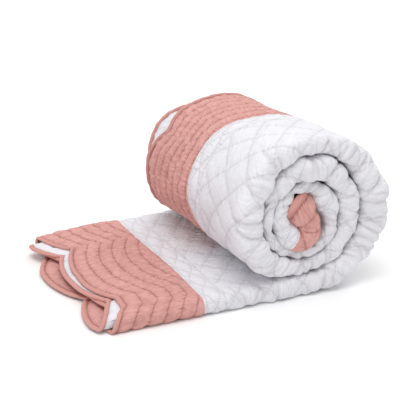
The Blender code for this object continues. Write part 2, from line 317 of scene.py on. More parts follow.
# %% From s and t to a point
def across_strip(s, t):
    """Y of the cloth at s, t."""
    stays, goes = (np.interp(t, FOLDED[:, 0], FOLDED[:, c]) for c in (1, 2))
    y = stays + goes * thickness(s)
    spread = ease(SPREAD_START + s / SPREAD_AT) * (1 - ease((s - SPREAD_AT) / SPREAD_LENGTH))
    tucked = np.clip(1 - (LENGTH - s) / HEAD_TUCK_LENGTH, 0, 1) ** 1.5
    tucked = tucked * (1 - ease(y / HEAD_TUCK_WIDTH))
    height = np.interp(t, FOLDED[:, 0], FOLDED[:, 3])
    pulled = (ease(height - 1) * ease((s - TAIL) / FAR_PULL_LENGTH)
              * ease((y - FAR_PULL_FROM) / FAR_PULL_WIDTH))
    y = y + FOOT_SPREAD * spread * (y / STRIP) ** 2 + HEAD_TUCK * tucked
    return y - FAR_PULL * pulled


def height_scale(s, y):
    """What is left of a height, for the roll's taper and the foot's droop."""
    loose = 1 - ease(s / FOOT_BORDER)
    return (1 - CONE * y / STRIP) * (1 - FOOT_DROOP * loose * y / STRIP)


def lie(s, t):
    """The middle of the smooth cloth at s, t."""
    outer_x, outer_z, inner_x, inner_z = strip_faces(s)
    inward = (np.interp(t, FOLDED[:, 0], FOLDED[:, 3]) + 0.5) / LAYERS
    x = outer_x + (inner_x - outer_x) * inward
    z = outer_z + (inner_z - outer_z) * inward
    y = across_strip(s, t)
    rolled = ease((s - FOOT_BORDER) / (TAIL - FOOT_BORDER))
    slip = np.interp(t, *SLIP.T) * (1 - ease(s / FOOT_BORDER))
    x = x * (1 - CONE * y / STRIP * rolled) - SKEW * y * rolled + slip
    return np.stack((x, y, (z + ROLL) * height_scale(s, y)), axis=-1)


def half_cloth(s, t):
    """Half the cloth's thickness at s, t."""
    return thickness(s) * CLOTH / LAYERS / 2 * height_scale(s, across_strip(s, t))


def normals(s, t):
    """The unit normal on the quilted face."""
    step = 0.0004
    along = lie(s + step, t) - lie(s - step, t)
    across = lie(s, t + step) - lie(s, t - step)
    normal = np.cross(along, across)
    return normal / np.linalg.norm(normal, axis=-1, keepdims=True)


print("thickness of the cloth on the tail", round(2 * float(half_cloth(FOOT_BORDER, NEAR_FOLD_END)), 4))

# %% [markdown]
# ## Set into the frame
# The lengths above start at the roll's own middle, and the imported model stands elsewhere. The
# shift could be typed in, but it would be wrong as soon as a size changes. So the same corner
# of the same piece is found in both, and the difference is the shift.

# %% The shift
def field_corner():
    """The lowest corner of the smooth field on the tail, in the strip's own lengths."""
    s, t = np.meshgrid(np.linspace(FOOT_BORDER, TAIL, 200),
                       np.linspace(SIDE_BORDER, WIDTH - SIDE_BORDER, 400), indexing="ij")
    faces = lie(s, t) + normals(s, t) * half_cloth(s, t)[..., None]
    return faces.reshape(-1, 3).min(axis=0)


ORIGIN = np.array(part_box("field_tail")[0]) - field_corner()
print("shift into the frame", ORIGIN.round(4))

# %% [markdown]
# ## Unevenness that all layers share
# Nothing on a soft roll is quite straight or even. Noise on each sheet would push one layer
# into the next. One gentle warp of space moves every layer at a place together, so the roll
# gets its unevenness and keeps its gaps. The warp fades to nothing at the surface underneath,
# and the cloth is pressed flat there.

# %% The shared warp
WARP_WAVES = (
    # wave length, size, direction of the wave, direction of the move
    (0.31, 0.0032, (0.8, 0.3, 0.5), (0.1, 0.0, 1.0)),
    (0.23, 0.0026, (-0.4, 0.6, 0.7), (1.0, 0.0, 0.2)),
    (0.17, 0.0020, (0.5, -0.7, 0.6), (0.3, 1.0, 0.3)),
    (0.13, 0.0014, (0.9, 0.2, -0.5), (0.2, 0.3, 1.0)),
    (0.105, 0.0012, (-0.2, 0.5, 0.9), (1.0, 0.2, 0.0)),
)
WARP_FADE = 0.06        # height over which the warp starts
WARP_PHASE = 1.7        # by how much each wave starts later than the last
OFF_FLOOR = 0.0002      # the cloth stays this far off the floor
# places where the whole roll gives a little: centre, reach, move
DENTS = (
    ((-0.03, 0.37, 0.30), 0.11, (0.0, 0.0, -0.008)),
)


def warped(points):
    """Points moved by the warp, and set into the frame."""
    moved = points.copy()
    fade = ease(points[..., 2] / WARP_FADE)[..., None]
    for number, (wave, size, towards, move) in enumerate(WARP_WAVES):
        towards = np.array(towards) / np.linalg.norm(towards)
        move = np.array(move) / np.linalg.norm(move)
        phase = points @ towards * (2 * math.pi / wave) + WARP_PHASE * number
        moved += fade * size * np.sin(phase)[..., None] * move
    for centre, reach, move in DENTS:
        away = np.linalg.norm(points - np.array(centre), axis=-1) / reach
        moved += np.exp(-away ** 2)[..., None] * np.array(move)
    placed = moved + ORIGIN
    placed[..., 2] = np.maximum(placed[..., 2], cad_low[2] + OFF_FLOOR)
    return placed


print("the warp moves a point by up to", round(sum(wave[1] for wave in WARP_WAVES), 4), "m")

# %% [markdown]
# ## The outline's scallops
# The quilt's edge is a row of round scallops. Each is one arc, and two arcs meet in a
# pointed notch. An outline could be drawn point by point, but one formula for an arc's
# depth gives every edge, and the echo rows inside can follow it too. On the ends the notches
# lie at places of their own. On the sides they repeat evenly.

# %% Scalloped edges
LOBE = 0.255            # chord of one scallop of a side edge
LOBE_BEND = 0.215       # radius of a scallop's arc
CORNER = 0.050          # radius of the quilt's own corners
INNER_SCALLOPS = 0.140  # how far the inner edge's scallops are set back, own
# where the scallops of the ends meet: layer, Y
CUSPS = (
    (0, 0.460), (0, 0.215), (5, 0.066), (5, 0.333), (2, 0.300), (2, 0.050),
    (3, 0.280), (4, 0.313), (4, 0.075), (1, 0.139), (1, 0.385), (1, 0.600),
)
CUSP_PLACES = np.array([cloth_place(layer, y) for layer, y in CUSPS])


def scallop(from_crown):
    """How far a scallop lies back from its crown, for a distance along the edge."""
    return LOBE_BEND - np.sqrt(LOBE_BEND ** 2 - np.minimum(from_crown ** 2, LOBE ** 2 / 4))


def end_edge(t):
    """How far an end's edge lies in from its outermost line, for t."""
    i = np.clip(np.searchsorted(CUSP_PLACES, t, side="right") - 1, 0, len(CUSP_PLACES) - 2)
    into_corner = np.clip(CORNER - np.minimum(t, WIDTH - t), 0, CORNER)
    rounded = CORNER - np.sqrt(CORNER ** 2 - into_corner ** 2)
    return np.maximum(scallop(t - (CUSP_PLACES[i] + CUSP_PLACES[i + 1]) / 2), rounded)


def side_edge(s, inner):
    """How far the inner or outer side edge lies in from its outermost line, for s."""
    shift = np.where(inner, INNER_SCALLOPS, 0.0)
    return scallop((s + shift) % LOBE - LOBE / 2)


print("a scallop is", round(float(scallop(LOBE / 2)), 3), "m deep")

# %% [markdown]
# ## Quilting as a relief
# A stitched line pulls the two cloths together, and the filling puffs up between the lines.
# A bump in the material would show that from the front, but not along the outline or in the
# folds, so it goes into the mesh. The relief is 0 on a line and most of the way to 1 a
# centimetre from it. The white middle has diamonds and, along its seams, a cable between two
# straight rows. The borders have echo lines.

# %% The stitched lines
DIAMOND_S = 0.0735      # spacing of the diamonds along the strip
DIAMOND_T = 0.0780      # and across it
CABLE_NEAR = 0.006      # rows beside the cable, from the seam
CABLE_FAR = 0.046
CABLE_PITCH = 0.070
CABLE_WAVE = 0.015
ECHO = 0.0295           # spacing of the echo lines
ECHO_FIRST = 0.0115     # the line beside the binding, from the edge
PUFF = 0.008            # distance over which the filling rises
FINE_PUFF = 0.0045      # and beside the cable's close rows
DIAMOND_APART = 1 / math.hypot(1 / DIAMOND_S, 1 / DIAMOND_T)
print("the slanting rows are", round(DIAMOND_APART, 4), "m apart")


def from_line(phase, spacing):
    """Distance from the nearest of evenly spaced lines, from a phase that counts them."""
    return np.abs((phase + 0.5) % 1.0 - 0.5) * spacing


def diamond_relief(s, t):
    """Relief of the diamonds."""
    relief = np.ones_like(s)
    for turn in (1, -1):
        away = from_line(s / DIAMOND_S + turn * t / DIAMOND_T, DIAMOND_APART)
        relief = relief * (1 - np.exp(-away / PUFF))
    return relief


def cable_relief(from_seam, along):
    """Relief of the cable between its two rows, for a distance from the seam."""
    middle = (CABLE_NEAR + CABLE_FAR) / 2
    relief = np.ones_like(from_seam)
    for row in (CABLE_NEAR, CABLE_FAR):
        relief = relief * (1 - np.exp(-np.abs(from_seam - row) / FINE_PUFF))
    swing = 2 * math.pi * along / (2 * CABLE_PITCH)
    slope = np.hypot(1, CABLE_WAVE * math.pi / CABLE_PITCH * np.cos(swing))
    for turn in (1, -1):
        away = np.abs(from_seam - middle - turn * CABLE_WAVE * np.sin(swing)) / slope
        relief = relief * (1 - np.exp(-away / FINE_PUFF))
    return relief


def field_relief(s, t):
    """Relief of the white middle: diamonds, and the cable beside each seam."""
    from_foot = s - FOOT_BORDER
    from_head = LENGTH - HEAD_BORDER - s
    from_side = np.minimum(t - SIDE_BORDER, WIDTH - SIDE_BORDER - t)
    beside_end = np.minimum(from_foot, from_head) < from_side
    from_seam = np.where(beside_end, np.minimum(from_foot, from_head), from_side)
    along = np.where(beside_end, t, s)
    diamonds = diamond_relief(s, t) * (1 - np.exp(-np.abs(from_seam - CABLE_FAR) / FINE_PUFF))
    return np.where(from_seam < CABLE_FAR, cable_relief(from_seam, along), diamonds)


# %% [markdown]
# ## Puckers beside the rows
# Sewing and washing shrink the cloth along each row, so the cloth beside it stands in short
# puckers square to the row. Sculpting them by hand would take days. Here their size comes
# from a smooth random field with a fixed seed, stretched out square to the row. Where the
# field passes zero there is a sharp valley, and between two valleys a round top.

# %% Puckers
PUCKER = 0.0024         # height of a full pucker
PUCKER_LENGTH = 0.0090  # size of one pucker along the row
PUCKER_ACROSS = 0.026   # and across it
PUCKER_REACH = 0.015    # how far from the row they fade
PUCKER_LEVEL = 0.3      # the size at which a pucker stands neither up nor down
VALLEY_WIDTH = 0.10
FAR_PUCKER = 0.25       # what is left of a pucker far from any row
BORDER_PUCKER = 1.80    # the borders pucker more than the middle
MIDDLE_PUCKER = 1.30
KNOTS = 256             # the random field repeats after so many knots


def random_field(u, v, seed):
    """A smooth random field from -1 to 1 with knots at whole numbers."""
    table = np.random.default_rng(seed).uniform(-1, 1, (KNOTS, KNOTS))
    i, j = np.floor(u).astype(int), np.floor(v).astype(int)
    f, g = ease(u - i), ease(v - j)
    this_i, next_i, this_j, next_j = i % KNOTS, (i + 1) % KNOTS, j % KNOTS, (j + 1) % KNOTS
    low = table[this_i, this_j] * (1 - f) + table[next_i, this_j] * f
    high = table[this_i, next_j] * (1 - f) + table[next_i, next_j] * f
    return low * (1 - g) + high * g


def row_puckers(along, across, away, seed):
    """Height of the puckers beside rows, and how deep in a valley a point is, from 0 to 1."""
    size = np.abs(random_field(along / PUCKER_LENGTH, across / PUCKER_ACROSS, seed))
    fade = FAR_PUCKER + (1 - FAR_PUCKER) * np.exp(-away / PUCKER_REACH)
    return PUCKER * (size - PUCKER_LEVEL) * fade, np.exp(-size / VALLEY_WIDTH) * fade


def field_puckers(s, t):
    """Puckers and valleys beside both sets of slanting rows, fading towards the seams."""
    height, valley = np.zeros_like(s), np.zeros_like(s)
    sets = []
    for seed, turn in ((11, 1), (12, -1)):
        count = s / DIAMOND_S + turn * t / DIAMOND_T
        along = (turn * s / DIAMOND_T - t / DIAMOND_S) * DIAMOND_APART
        away = from_line(count, DIAMOND_APART)
        sets.append((away, *row_puckers(along, count * DIAMOND_APART, away, seed)))
    total_away = sets[0][0] + sets[1][0] + 0.004
    for (_, rise, dip), (other, _, _) in zip(sets, reversed(sets)):
        share = (other + 0.002) / total_away
        height += rise * share * MIDDLE_PUCKER
        valley += dip * share
    return height, valley


print("puckers in a metre of row", round(1 / PUCKER_LENGTH))

# %% [markdown]
# ## Creases in the folds
# Where the strip is bent round the roll, its folds are gathered into short creases that run
# across them. One crease is a groove with a place, a depth, a slant and a reach. A loop adds
# as many as the near fold has room for, with a fixed seed, so that no two are alike and the
# same ones come back each time. A crease moves both faces of the cloth, as a real one does.

# %% Gathers along the near fold
CREASE_SPACING = 0.0165
CREASE_DEPTH = 0.0078
CREASE_WIDTH = 0.0042
CREASE_REACH = 0.026    # across the fold
CREASE_START = 0.6      # where they start, as a part of the tail
CREASE_EDGE = 1.3       # 2 is a round groove, and less a sharper one
GATHERED = 0.16         # how far from the fold creases are worked out
seeded = np.random.default_rng(7)
crease_count = int((LENGTH - TAIL) / CREASE_SPACING)
crease_steps = np.arange(crease_count) + seeded.uniform(-0.35, 0.35, crease_count)
CREASES = np.stack((
    TAIL * CREASE_START + crease_steps * CREASE_SPACING,
    CREASE_DEPTH * seeded.uniform(0.3, 1.0, crease_count) ** 2,
    seeded.uniform(-0.6, 0.6, crease_count),
    CREASE_REACH * seeded.uniform(0.6, 1.5, crease_count),
    seeded.uniform(-0.02, 0.02, crease_count),
    CREASE_WIDTH * seeded.uniform(0.7, 1.4, crease_count),
), axis=1)
print(crease_count, "creases along the near fold")


def gathers(s, t):
    """How far the creases press the cloth in at s, t."""
    pressed = np.zeros_like(s)
    from_fold = t - NEAR_FOLD
    near = np.abs(from_fold) < GATHERED
    ss, tt = s[near], from_fold[near]
    total = np.zeros_like(ss)
    for place, depth, slant, reach, shift, width in CREASES:
        across = (ss - place - slant * tt) / width
        total += depth * np.exp(-np.abs(across) ** CREASE_EDGE - ((tt - shift) / reach) ** 2)
    pressed[near] = total
    return pressed


# %% [markdown]
# ## Swelling between the creases
# Between its creases a soft fold bulges out, and in the core, where nothing holds it, it
# bulges until the hollow is full. Noise could do both, but its places could not be chosen. A
# few waves of different lengths along the fold do the first, and three round bulges the second.

# %% Swelling of the near fold
SWELL = 0.0036
SWELL_REACH = 0.040     # across the fold
SWELL_START = 0.4       # where it starts, as a part of the tail
SWELL_GROWS = 0.15      # length over which it starts
SWELL_LEVEL = 0.55
SWELL_WAVES = ((0.113, 0.35, 0.6), (0.067, 0.45, 0.0), (0.043, 0.3, 2.1))   # length, size, phase
CORE_SWELL = 0.010
CORE_SWELL_LENGTH = 0.17   # from the head
CORE_SWELL_GROWS = 0.06
# bulges that fill the core: angle swept, how far it stands in, its length along the strip
CORE_BULGES = ((1015, 0.017, 0.042), (860, 0.010, 0.030), (1235, 0.018, 0.030))
BULGE_PAST_FOLD = 0.010    # how far behind the near fold the bulges lie, and their reach
BULGE_REACH = 0.032


def swelling(s, t):
    """How far the near fold bulges out between its creases at s, t."""
    from_fold = t - NEAR_FOLD
    waves = SWELL_LEVEL
    for length, size, phase in SWELL_WAVES:
        waves = waves + size * np.sin(s * 2 * math.pi / length + phase)
    rolled = SWELL * waves * ease((s - TAIL * SWELL_START) / SWELL_GROWS)
    core = CORE_SWELL * ease((s - LENGTH + CORE_SWELL_LENGTH) / CORE_SWELL_GROWS)
    total = (rolled + core) * np.exp(-(from_fold / SWELL_REACH) ** 2)
    for angle, rise, length in CORE_BULGES:
        total += rise * np.exp(-((s - at_angle(angle)) / length) ** 2
                               - ((t - NEAR_FOLD_END - BULGE_PAST_FOLD) / BULGE_REACH) ** 2)
    return total


fold_line = np.linspace(0, LENGTH, 400)
fold_swell = swelling(fold_line, np.full_like(fold_line, NEAR_FOLD))
print("the near fold swells by up to", round(float(fold_swell.max()), 4), "m")

# %% [markdown]
# ## Distances that the stitching follows
# Echo lines keep an even distance from the outline. They could be drawn as curves, each set
# in from the last. A distance in from the edge gives them all at once: the lines are where it
# is a whole number of spacings. Along the sides they grow smoother towards the seam. At a
# corner of the quilt the lines of its two edges meet in a mitre, so the nearer edge counts.

# %% Distance in from the outline
SMOOTHED = 0.75         # how much of a side's scallops is gone from its rows by the seam
LEAST_STEEP = 0.7


def from_outline(s, t):
    """Distance in from the scalloped outline, and how steeply it changes."""
    def distance(s, t):
        ends = np.minimum(s, LENGTH - s) - end_edge(t)
        from_side = np.minimum(t, WIDTH - t)
        waves = 1 - SMOOTHED * ease(from_side / SIDE_BORDER)
        return np.minimum(ends, from_side - side_edge(s, t > WIDTH / 2) * waves)

    step = 0.001
    away = distance(s, t)
    change = np.hypot(distance(s + step, t) - distance(s - step, t),
                      distance(s, t + step) - distance(s, t - step)) / (2 * step)
    return away, np.maximum(change, LEAST_STEEP)


def from_seam(s, t):
    """Distance from the seam around the white middle, and the length along it."""
    from_end = np.minimum(s - FOOT_BORDER, LENGTH - HEAD_BORDER - s)
    from_side = np.minimum(t - SIDE_BORDER, WIDTH - SIDE_BORDER - t)
    along = np.where(from_end < from_side, t, s)
    return np.minimum(from_end, from_side), along


print("echo rows across a border", round((SIDE_BORDER - ECHO_FIRST) / ECHO, 1))

# %% [markdown]
# ## One closed sheet
# Every cloth of the quilt is made in the same way: a grid of s and t. A Solidify modifier
# would give it one even thickness. Quilting makes it uneven, so the face stands off the
# middle of the cloth by one length at each point, and the back by another, and a rim closes
# the mesh. The grid also carries two maps for the finish: "cloth" holds s and t, and "rows"
# holds the distance that its stitched rows follow. An attribute, "creases", says how deep in
# a crease each point lies, because less light reaches the bottom of one.

# %% The sheet builder
THIN = 0.16             # what is left of the cloth's thickness on a stitched line
SEAM_DITCH = 0.003      # reach of the ditch along a seam
BACK_PRESSED = 0.4      # how much of a crease the back of the cloth takes part in
CREASE_SHADE = 2.2      # how soon a crease counts as a deep one, for its painted shade
DEEPEST = 1.2
SHARP_EDGE = math.radians(60)


def puffed(relief):
    """Part of the half thickness that is left, for a relief from 0 to 1."""
    return THIN + (1 - THIN) * relief


def cloth_piece(name, node, s, t, face, back, rows, puckers=(0.0, 0.0)):
    """A closed sheet on a grid. face and back stand off the middle, in metres."""
    middle = lie(s, t)
    normal = normals(s, t)
    pressed = gathers(s, t)
    swell = swelling(s, t) + puckers[0]
    upper = warped(middle + normal * (face - pressed + swell)[..., None])
    lower = warped(middle + normal * (back - BACK_PRESSED * pressed + swell)[..., None])
    count, columns = s.shape
    under = count * columns
    corner = (np.arange(count - 1)[:, None] * columns + np.arange(columns - 1)).ravel()
    top = np.stack((corner, corner + columns, corner + columns + 1, corner + 1), axis=1)
    bottom = top[:, ::-1] + under
    border = np.concatenate((np.arange(columns),
                             np.arange(2, count) * columns - 1,
                             np.arange(count * columns - 1, (count - 1) * columns, -1),
                             np.arange(count - 1, 0, -1) * columns))
    onward = np.roll(border, -1)
    wall = np.stack((border, onward, onward + under, border + under), axis=1)
    quads = np.concatenate((top, bottom, wall))

    mesh = bpy.data.meshes.new(name)
    mesh.from_pydata(np.concatenate((upper.reshape(-1, 3), lower.reshape(-1, 3))), [], quads)
    for layer, values in (("cloth", (s, t)), ("rows", rows)):
        at_point = np.tile(np.stack(values, axis=-1).reshape(-1, 2), (2, 1))
        mesh.uv_layers.new(name=layer).data.foreach_set("uv", at_point[quads.ravel()].ravel())
    # creases: how much painted shade the finish puts in the gathers and in the valleys between puckers.
    deep = puckers[1] + (pressed / CREASE_DEPTH * CREASE_SHADE) ** 2
    folded_in = np.clip(deep, 0, DEEPEST) + np.zeros_like(s)
    shade = mesh.attributes.new("creases", "FLOAT", "POINT")
    shade.data.foreach_set("value", np.tile(folded_in.ravel(), 2).astype(np.float32))
    mesh.shade_smooth()
    mesh.set_sharp_from_angle(angle=SHARP_EDGE)
    piece = bpy.data.objects.new(name, mesh)
    bpy.context.scene.collection.objects.link(piece)
    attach(piece, "root")
    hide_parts(node)
    print(name, 2 * len(quads), "triangles")
    return piece


# %% [markdown]
# ## Where the grid is close
# A round bend needs even steps, and a flat layer needs them only where its quilting shows.
# One fine grid for all would pass the limits. So t takes every step of the bends, and each
# flat layer gets a spacing of its own. s is made of stretches in the same way.

# %% Rows and columns of a grid
LEAST_STEP = 0.0011     # columns closer together than this are left out


def along_t(start, end, spacings, bend_step=1):
    """t from start to end: every bend in even steps, and each flat layer at its own spacing."""
    places = [start, end]
    for number, ((t, _, _, layer), (next_t, _, _, next_layer)) in enumerate(zip(FOLDED, FOLDED[1:])):
        if number % bend_step == 0:
            places.append(t)
        if layer == next_layer:
            spacing = spacings[int(layer)]
            places.extend(np.linspace(t, next_t, max(2, round((next_t - t) / spacing)) + 1))
    places = np.unique(np.round(places, 5))
    places = places[(places >= start) & (places <= end)]
    far_enough = np.concatenate(([True], np.diff(places) > LEAST_STEP))
    far_enough[-1] = True
    return places[far_enough]


def along_s(*stretches):
    """s through stretches of start, end and spacing."""
    rows = [np.linspace(start, end, round((end - start) / spacing) + 1)
            for start, end, spacing in stretches]
    return np.unique(np.round(np.concatenate(rows), 5))


print("columns for a grid of 1 cm", len(along_t(0.0, WIDTH, [0.01] * LAYERS)))

# %% [markdown]
# ## The white middle
# On the real quilt the middle is one large white sheet with its filling and backing, and it
# could be one mesh here. That mesh would be too large to keep, so it is made in seven parts.
# The loose tail, the outermost turn and the turns inside it are each divided into what shows
# and what lies folded inside, and a third part of the inner turns lies between the turns.
# Only the parts that show get a close grid and puckers, and the filling stands a little
# higher in them.

# %% One part of the middle
FIRST_TURN = at_angle(0)
SECOND_TURN = at_angle(350)
CLOSE, LOOSE = 0.0034, 0.020
CLOSE_ROWS, HIDDEN_ROWS = 0.0031, 0.008
FULL = 1.25             # how much higher the filling stands in what shows
SEAM_SUNK = 0.7         # how much of the relief is lost at the seam
TUCKED_IN = 0.045       # how far a part that shows goes in behind its last fold
OUTSIDE = 0.09          # how far the showing part of the inner turns goes out from it
TAIL_PUCKER = 1.30      # the tail's puckers are higher, and its valleys get less painted shade
TAIL_VALLEY = 0.4


def middle_part(name, node, rows, columns, show):
    """One part of the white middle, puffed and puckered if it shows."""
    s, t = np.meshgrid(rows, columns, indexing="ij")
    away, along = from_seam(s, t)
    ditch = 1 - SEAM_SUNK * np.exp(-away / SEAM_DITCH)
    half = half_cloth(s, t) * puffed(field_relief(s, t) * ditch)
    puckers = field_puckers(s, t) if show else (0.0, 0.0)
    if name == "tail_top":
        puckers = (puckers[0] * TAIL_PUCKER, puckers[1] * TAIL_VALLEY)
    return cloth_piece(name, node, s, t,
                       half * (FULL if show else 1.0), -half, (away, along), puckers)


def middle_columns(start, end, spacing, bend_step):
    """t of one part of the middle."""
    return along_t(start, end, [spacing] * LAYERS, bend_step)


# %% The seven parts
tail_rows = (FOOT_BORDER, FIRST_TURN)
first_rows = (FIRST_TURN, SECOND_TURN)
inner_rows = (SECOND_TURN, LENGTH - HEAD_BORDER)
hidden = middle_columns(NEAR_FOLD_END + TUCKED_IN, WIDTH - SIDE_BORDER, LOOSE, 2)
middle = [
    middle_part("tail_top", "field_tail", along_s((*tail_rows, CLOSE)),
                middle_columns(SIDE_BORDER, FAR_FOLD_END + TUCKED_IN, CLOSE, 1), True),
    middle_part("tail_inside", "field_tail", along_s((*tail_rows, HIDDEN_ROWS)),
                middle_columns(FAR_FOLD_END + TUCKED_IN, WIDTH - SIDE_BORDER, HIDDEN_ROWS, 2), False),
    middle_part("first_turn_outside", "field_roll", along_s((*first_rows, CLOSE_ROWS)),
                middle_columns(SIDE_BORDER, NEAR_FOLD_END + TUCKED_IN, CLOSE, 1), True),
    middle_part("first_turn_inside", "field_roll", along_s((*first_rows, HIDDEN_ROWS)),
                hidden, False),
    middle_part("inner_turns_near", "field_roll", along_s((*inner_rows, CLOSE_ROWS)),
                middle_columns(NEAR_FOLD - OUTSIDE, NEAR_FOLD_END + TUCKED_IN, CLOSE, 1), True),
    middle_part("inner_turns_outside", "field_roll", along_s((*inner_rows, 1.5 * HIDDEN_ROWS)),
                middle_columns(SIDE_BORDER, NEAR_FOLD - OUTSIDE, LOOSE, 2), False),
    middle_part("inner_turns_inside", "field_roll", along_s((*inner_rows, HIDDEN_ROWS)),
                hidden, False),
]

# %% [markdown]
# ## The coral borders
# Each border is a coral cloth whose outer edge is cut in scallops. It could be cut out of a
# square grid, but that would leave ragged edges. So the grid itself runs from the scalloped
# edge to the seam. The foot's border shows both its sides, so its coral face and its white
# backing are two sheets, each half as thick. So are those along the inner side edge.

# %% One border
SEAM_PRESSED = 0.6      # how much of the thickness is lost at the seam
ECHO_PUFF = 0.7 * PUFF
CORNER_REACH = 0.1      # length over which an end's edge is drawn in to meet the side's


def border_half(s, t):
    """Half a border's thickness, less along its echo lines and seam, and the distance in."""
    away, steep = from_outline(s, t)
    seam, _ = from_seam(s, t)
    relief = 1 - np.exp(-from_line((away - ECHO_FIRST) / ECHO, ECHO) / steep / ECHO_PUFF)
    relief = relief * (1 - SEAM_PRESSED * np.exp(-np.abs(seam) / SEAM_DITCH))
    return half_cloth(s, t) * puffed(relief), away


def border_piece(name, node, s, t, low, high, thickest=1.0):
    """A border between two parts of the half thickness, with echo lines on each side."""
    along = t if "foot" in name or "head" in name else s
    half, away = border_half(s, t)
    off_row = from_line((away - ECHO_FIRST) / ECHO, ECHO)
    height, valley = row_puckers(along, away, off_row, 21)
    return cloth_piece(name, node, s, t, high * half * thickest, low * half, (away, along),
                       (BORDER_PUCKER * height, valley))


def drawn_in(s, t, bound):
    """t of an end's edge, drawn in near the sides by their scallops and a bound width."""
    from_side = np.minimum(t, WIDTH - t)
    inward = (side_edge(s, t > WIDTH / 2) + bound) * np.clip(1 - from_side / CORNER_REACH, 0, 1)
    return t + np.where(t < WIDTH / 2, inward, -inward)


def end_grid(first, last, columns, rows):
    """s and t between two edges of an end's border, drawn in at the quilt's corners."""
    f = np.linspace(0, 1, rows + 1)[:, None]
    s = first + (last - first) * f
    t = np.broadcast_to(columns, s.shape)
    return s, drawn_in(s, t, BINDING)


# %% The borders of the foot and the head
FOOT_STEPS, HEAD_STEPS = 42, 24         # grid steps from the bound edge to the seam
UNDER, ON_TOP = 0.006, 0.004            # spacing of the foot's columns below and on top
HEAD_BEFORE, HEAD_BEHIND = 0.08, 0.09   # how far the head shows on each side of the near fold
BACKING_TOP = -0.02     # a backing ends just under the cloth that it backs
foot_columns = along_t(0.0, WIDTH, (LAYERS - 1) * (UNDER,) + (ON_TOP,))
foot_out = end_edge(foot_columns)
s, t = end_grid(foot_out + BINDING, np.full_like(foot_out, FOOT_BORDER), foot_columns, FOOT_STEPS)
foot_border = border_piece("foot_border_cloth", "foot_border", s, t, 0.0, 1.0, FULL)
foot_backing = border_piece("foot_backing_cloth", "foot_backing", s, t,
                            -1.0, BACKING_TOP)

head_columns = np.unique(np.concatenate((
    along_t(0.0, WIDTH, [LOOSE] * LAYERS, 2),
    along_t(NEAR_FOLD - HEAD_BEFORE, NEAR_FOLD_END + HEAD_BEHIND, [CLOSE] * LAYERS))))
head_out = LENGTH - end_edge(head_columns)
s, t = end_grid(np.full_like(head_out, LENGTH - HEAD_BORDER), head_out - BINDING,
                head_columns, HEAD_STEPS)
head_border = border_piece("head_border_cloth", "head_border", s, t, -1.0, 1.0)


# %% The borders of the sides
OUTER_STEPS, INNER_STEPS = 56, 36       # grid steps from the bound edge to the seam
OUTER_ROWS, INNER_ROWS, LOOSE_ROWS = 0.0042, 0.006, 0.012   # spacing of the rows


def side_rows(close):
    """s from seam to seam, close on the turn that shows."""
    return along_s((FOOT_BORDER, FIRST_TURN, 1.5 * close), (FIRST_TURN, SECOND_TURN, close),
                   (SECOND_TURN, LENGTH - HEAD_BORDER, LOOSE_ROWS))


def side_grid(rows, count, inner):
    """s and t from a side's bound edge to its seam, on one side or the other."""
    f = np.linspace(0, 1, count + 1)
    start = side_edge(rows, inner)[:, None] + BINDING
    t = start + (SIDE_BORDER - start) * f
    s = np.broadcast_to(rows[:, None], t.shape)
    if inner:
        return s, WIDTH - t[:, ::-1]
    return s, t


s, t = side_grid(side_rows(OUTER_ROWS), OUTER_STEPS, False)
outer_border = border_piece("outer_border_cloth", "outer_side_border",
                            s, t, -1.0, 1.0, FULL)
s, t = side_grid(side_rows(INNER_ROWS), INNER_STEPS, True)
inner_border = border_piece("inner_border_cloth", "inner_side_border",
                            s, t, 0.0, 1.0)
inner_backing = border_piece("inner_backing_cloth", "inner_side_backing",
                             s, t, -1.0, BACKING_TOP)

# %% [markdown]
# ## The binding
# A narrow coral strip is folded over the raw edge and sewn down on both sides. It is firmer
# and rounder than the quilted cloth beside it. A curve with a bevel could follow the edge,
# but it would not twist with the folds. So it is one more sheet, on the outermost lengths of
# s and t, and its section is a flat oval that thins towards the seam.

# %% The oval section
BINDING_ROWS = 8
BINDING_HALF = 1.60     # the oval's half height, as a part of the cloth's half thickness
OVAL_WIDEST = 0.62
OVAL_POWER = 2.5        # 2 is a true oval, and more a squarer one
SEAM_THIN = 0.45        # how much of the height is lost towards the seam
PART_IN = np.linspace(0, 1, BINDING_ROWS + 1)
oval_out = np.abs(1.25 * PART_IN - OVAL_WIDEST) ** OVAL_POWER / OVAL_WIDEST ** OVAL_POWER
OVAL = np.sqrt(np.clip(1 - oval_out * (PART_IN < 0.5), 0, 1))
OVAL = np.where(PART_IN < 0.5, OVAL, 1 - SEAM_THIN * ease((PART_IN - 0.5) * 2))
OVAL[0] = 0.30
print("half heights across the binding", OVAL.round(2))


# %% Bound edges
PLUMP = 0.10            # how much plumper or thinner it is in places
PLUMP_LENGTH = 0.021
PLUMP_FINE = 0.08
PLUMP_TURNS = 173       # radians in a metre


def binding_piece(node, s, t, across):
    """A bound edge whose section follows the oval across it, a little plumper here and there."""
    plump = 1 + PLUMP * np.sin(2 * math.pi * (s + t) / PLUMP_LENGTH)
    plump = plump + PLUMP_FINE * np.sin((s + t) * PLUMP_TURNS)
    half = half_cloth(s, t) * BINDING_HALF * across * plump
    away, _ = from_outline(s, t)
    return cloth_piece(node + "_strip", node, s, t, half, -half, (away, s + t))


def end_binding(node, columns, outer, inner):
    """The bound edge of an end, from its outermost line inwards."""
    s = outer + (inner - outer) * PART_IN[:, None]
    t = np.broadcast_to(columns, s.shape)
    across = np.broadcast_to(OVAL[:, None], s.shape)
    t = drawn_in(s, t, BINDING * PART_IN[:, None])
    if outer[0] > inner[0]:
        s, t, across = s[::-1], t[::-1], across[::-1]
    return binding_piece(node, s, t, across)


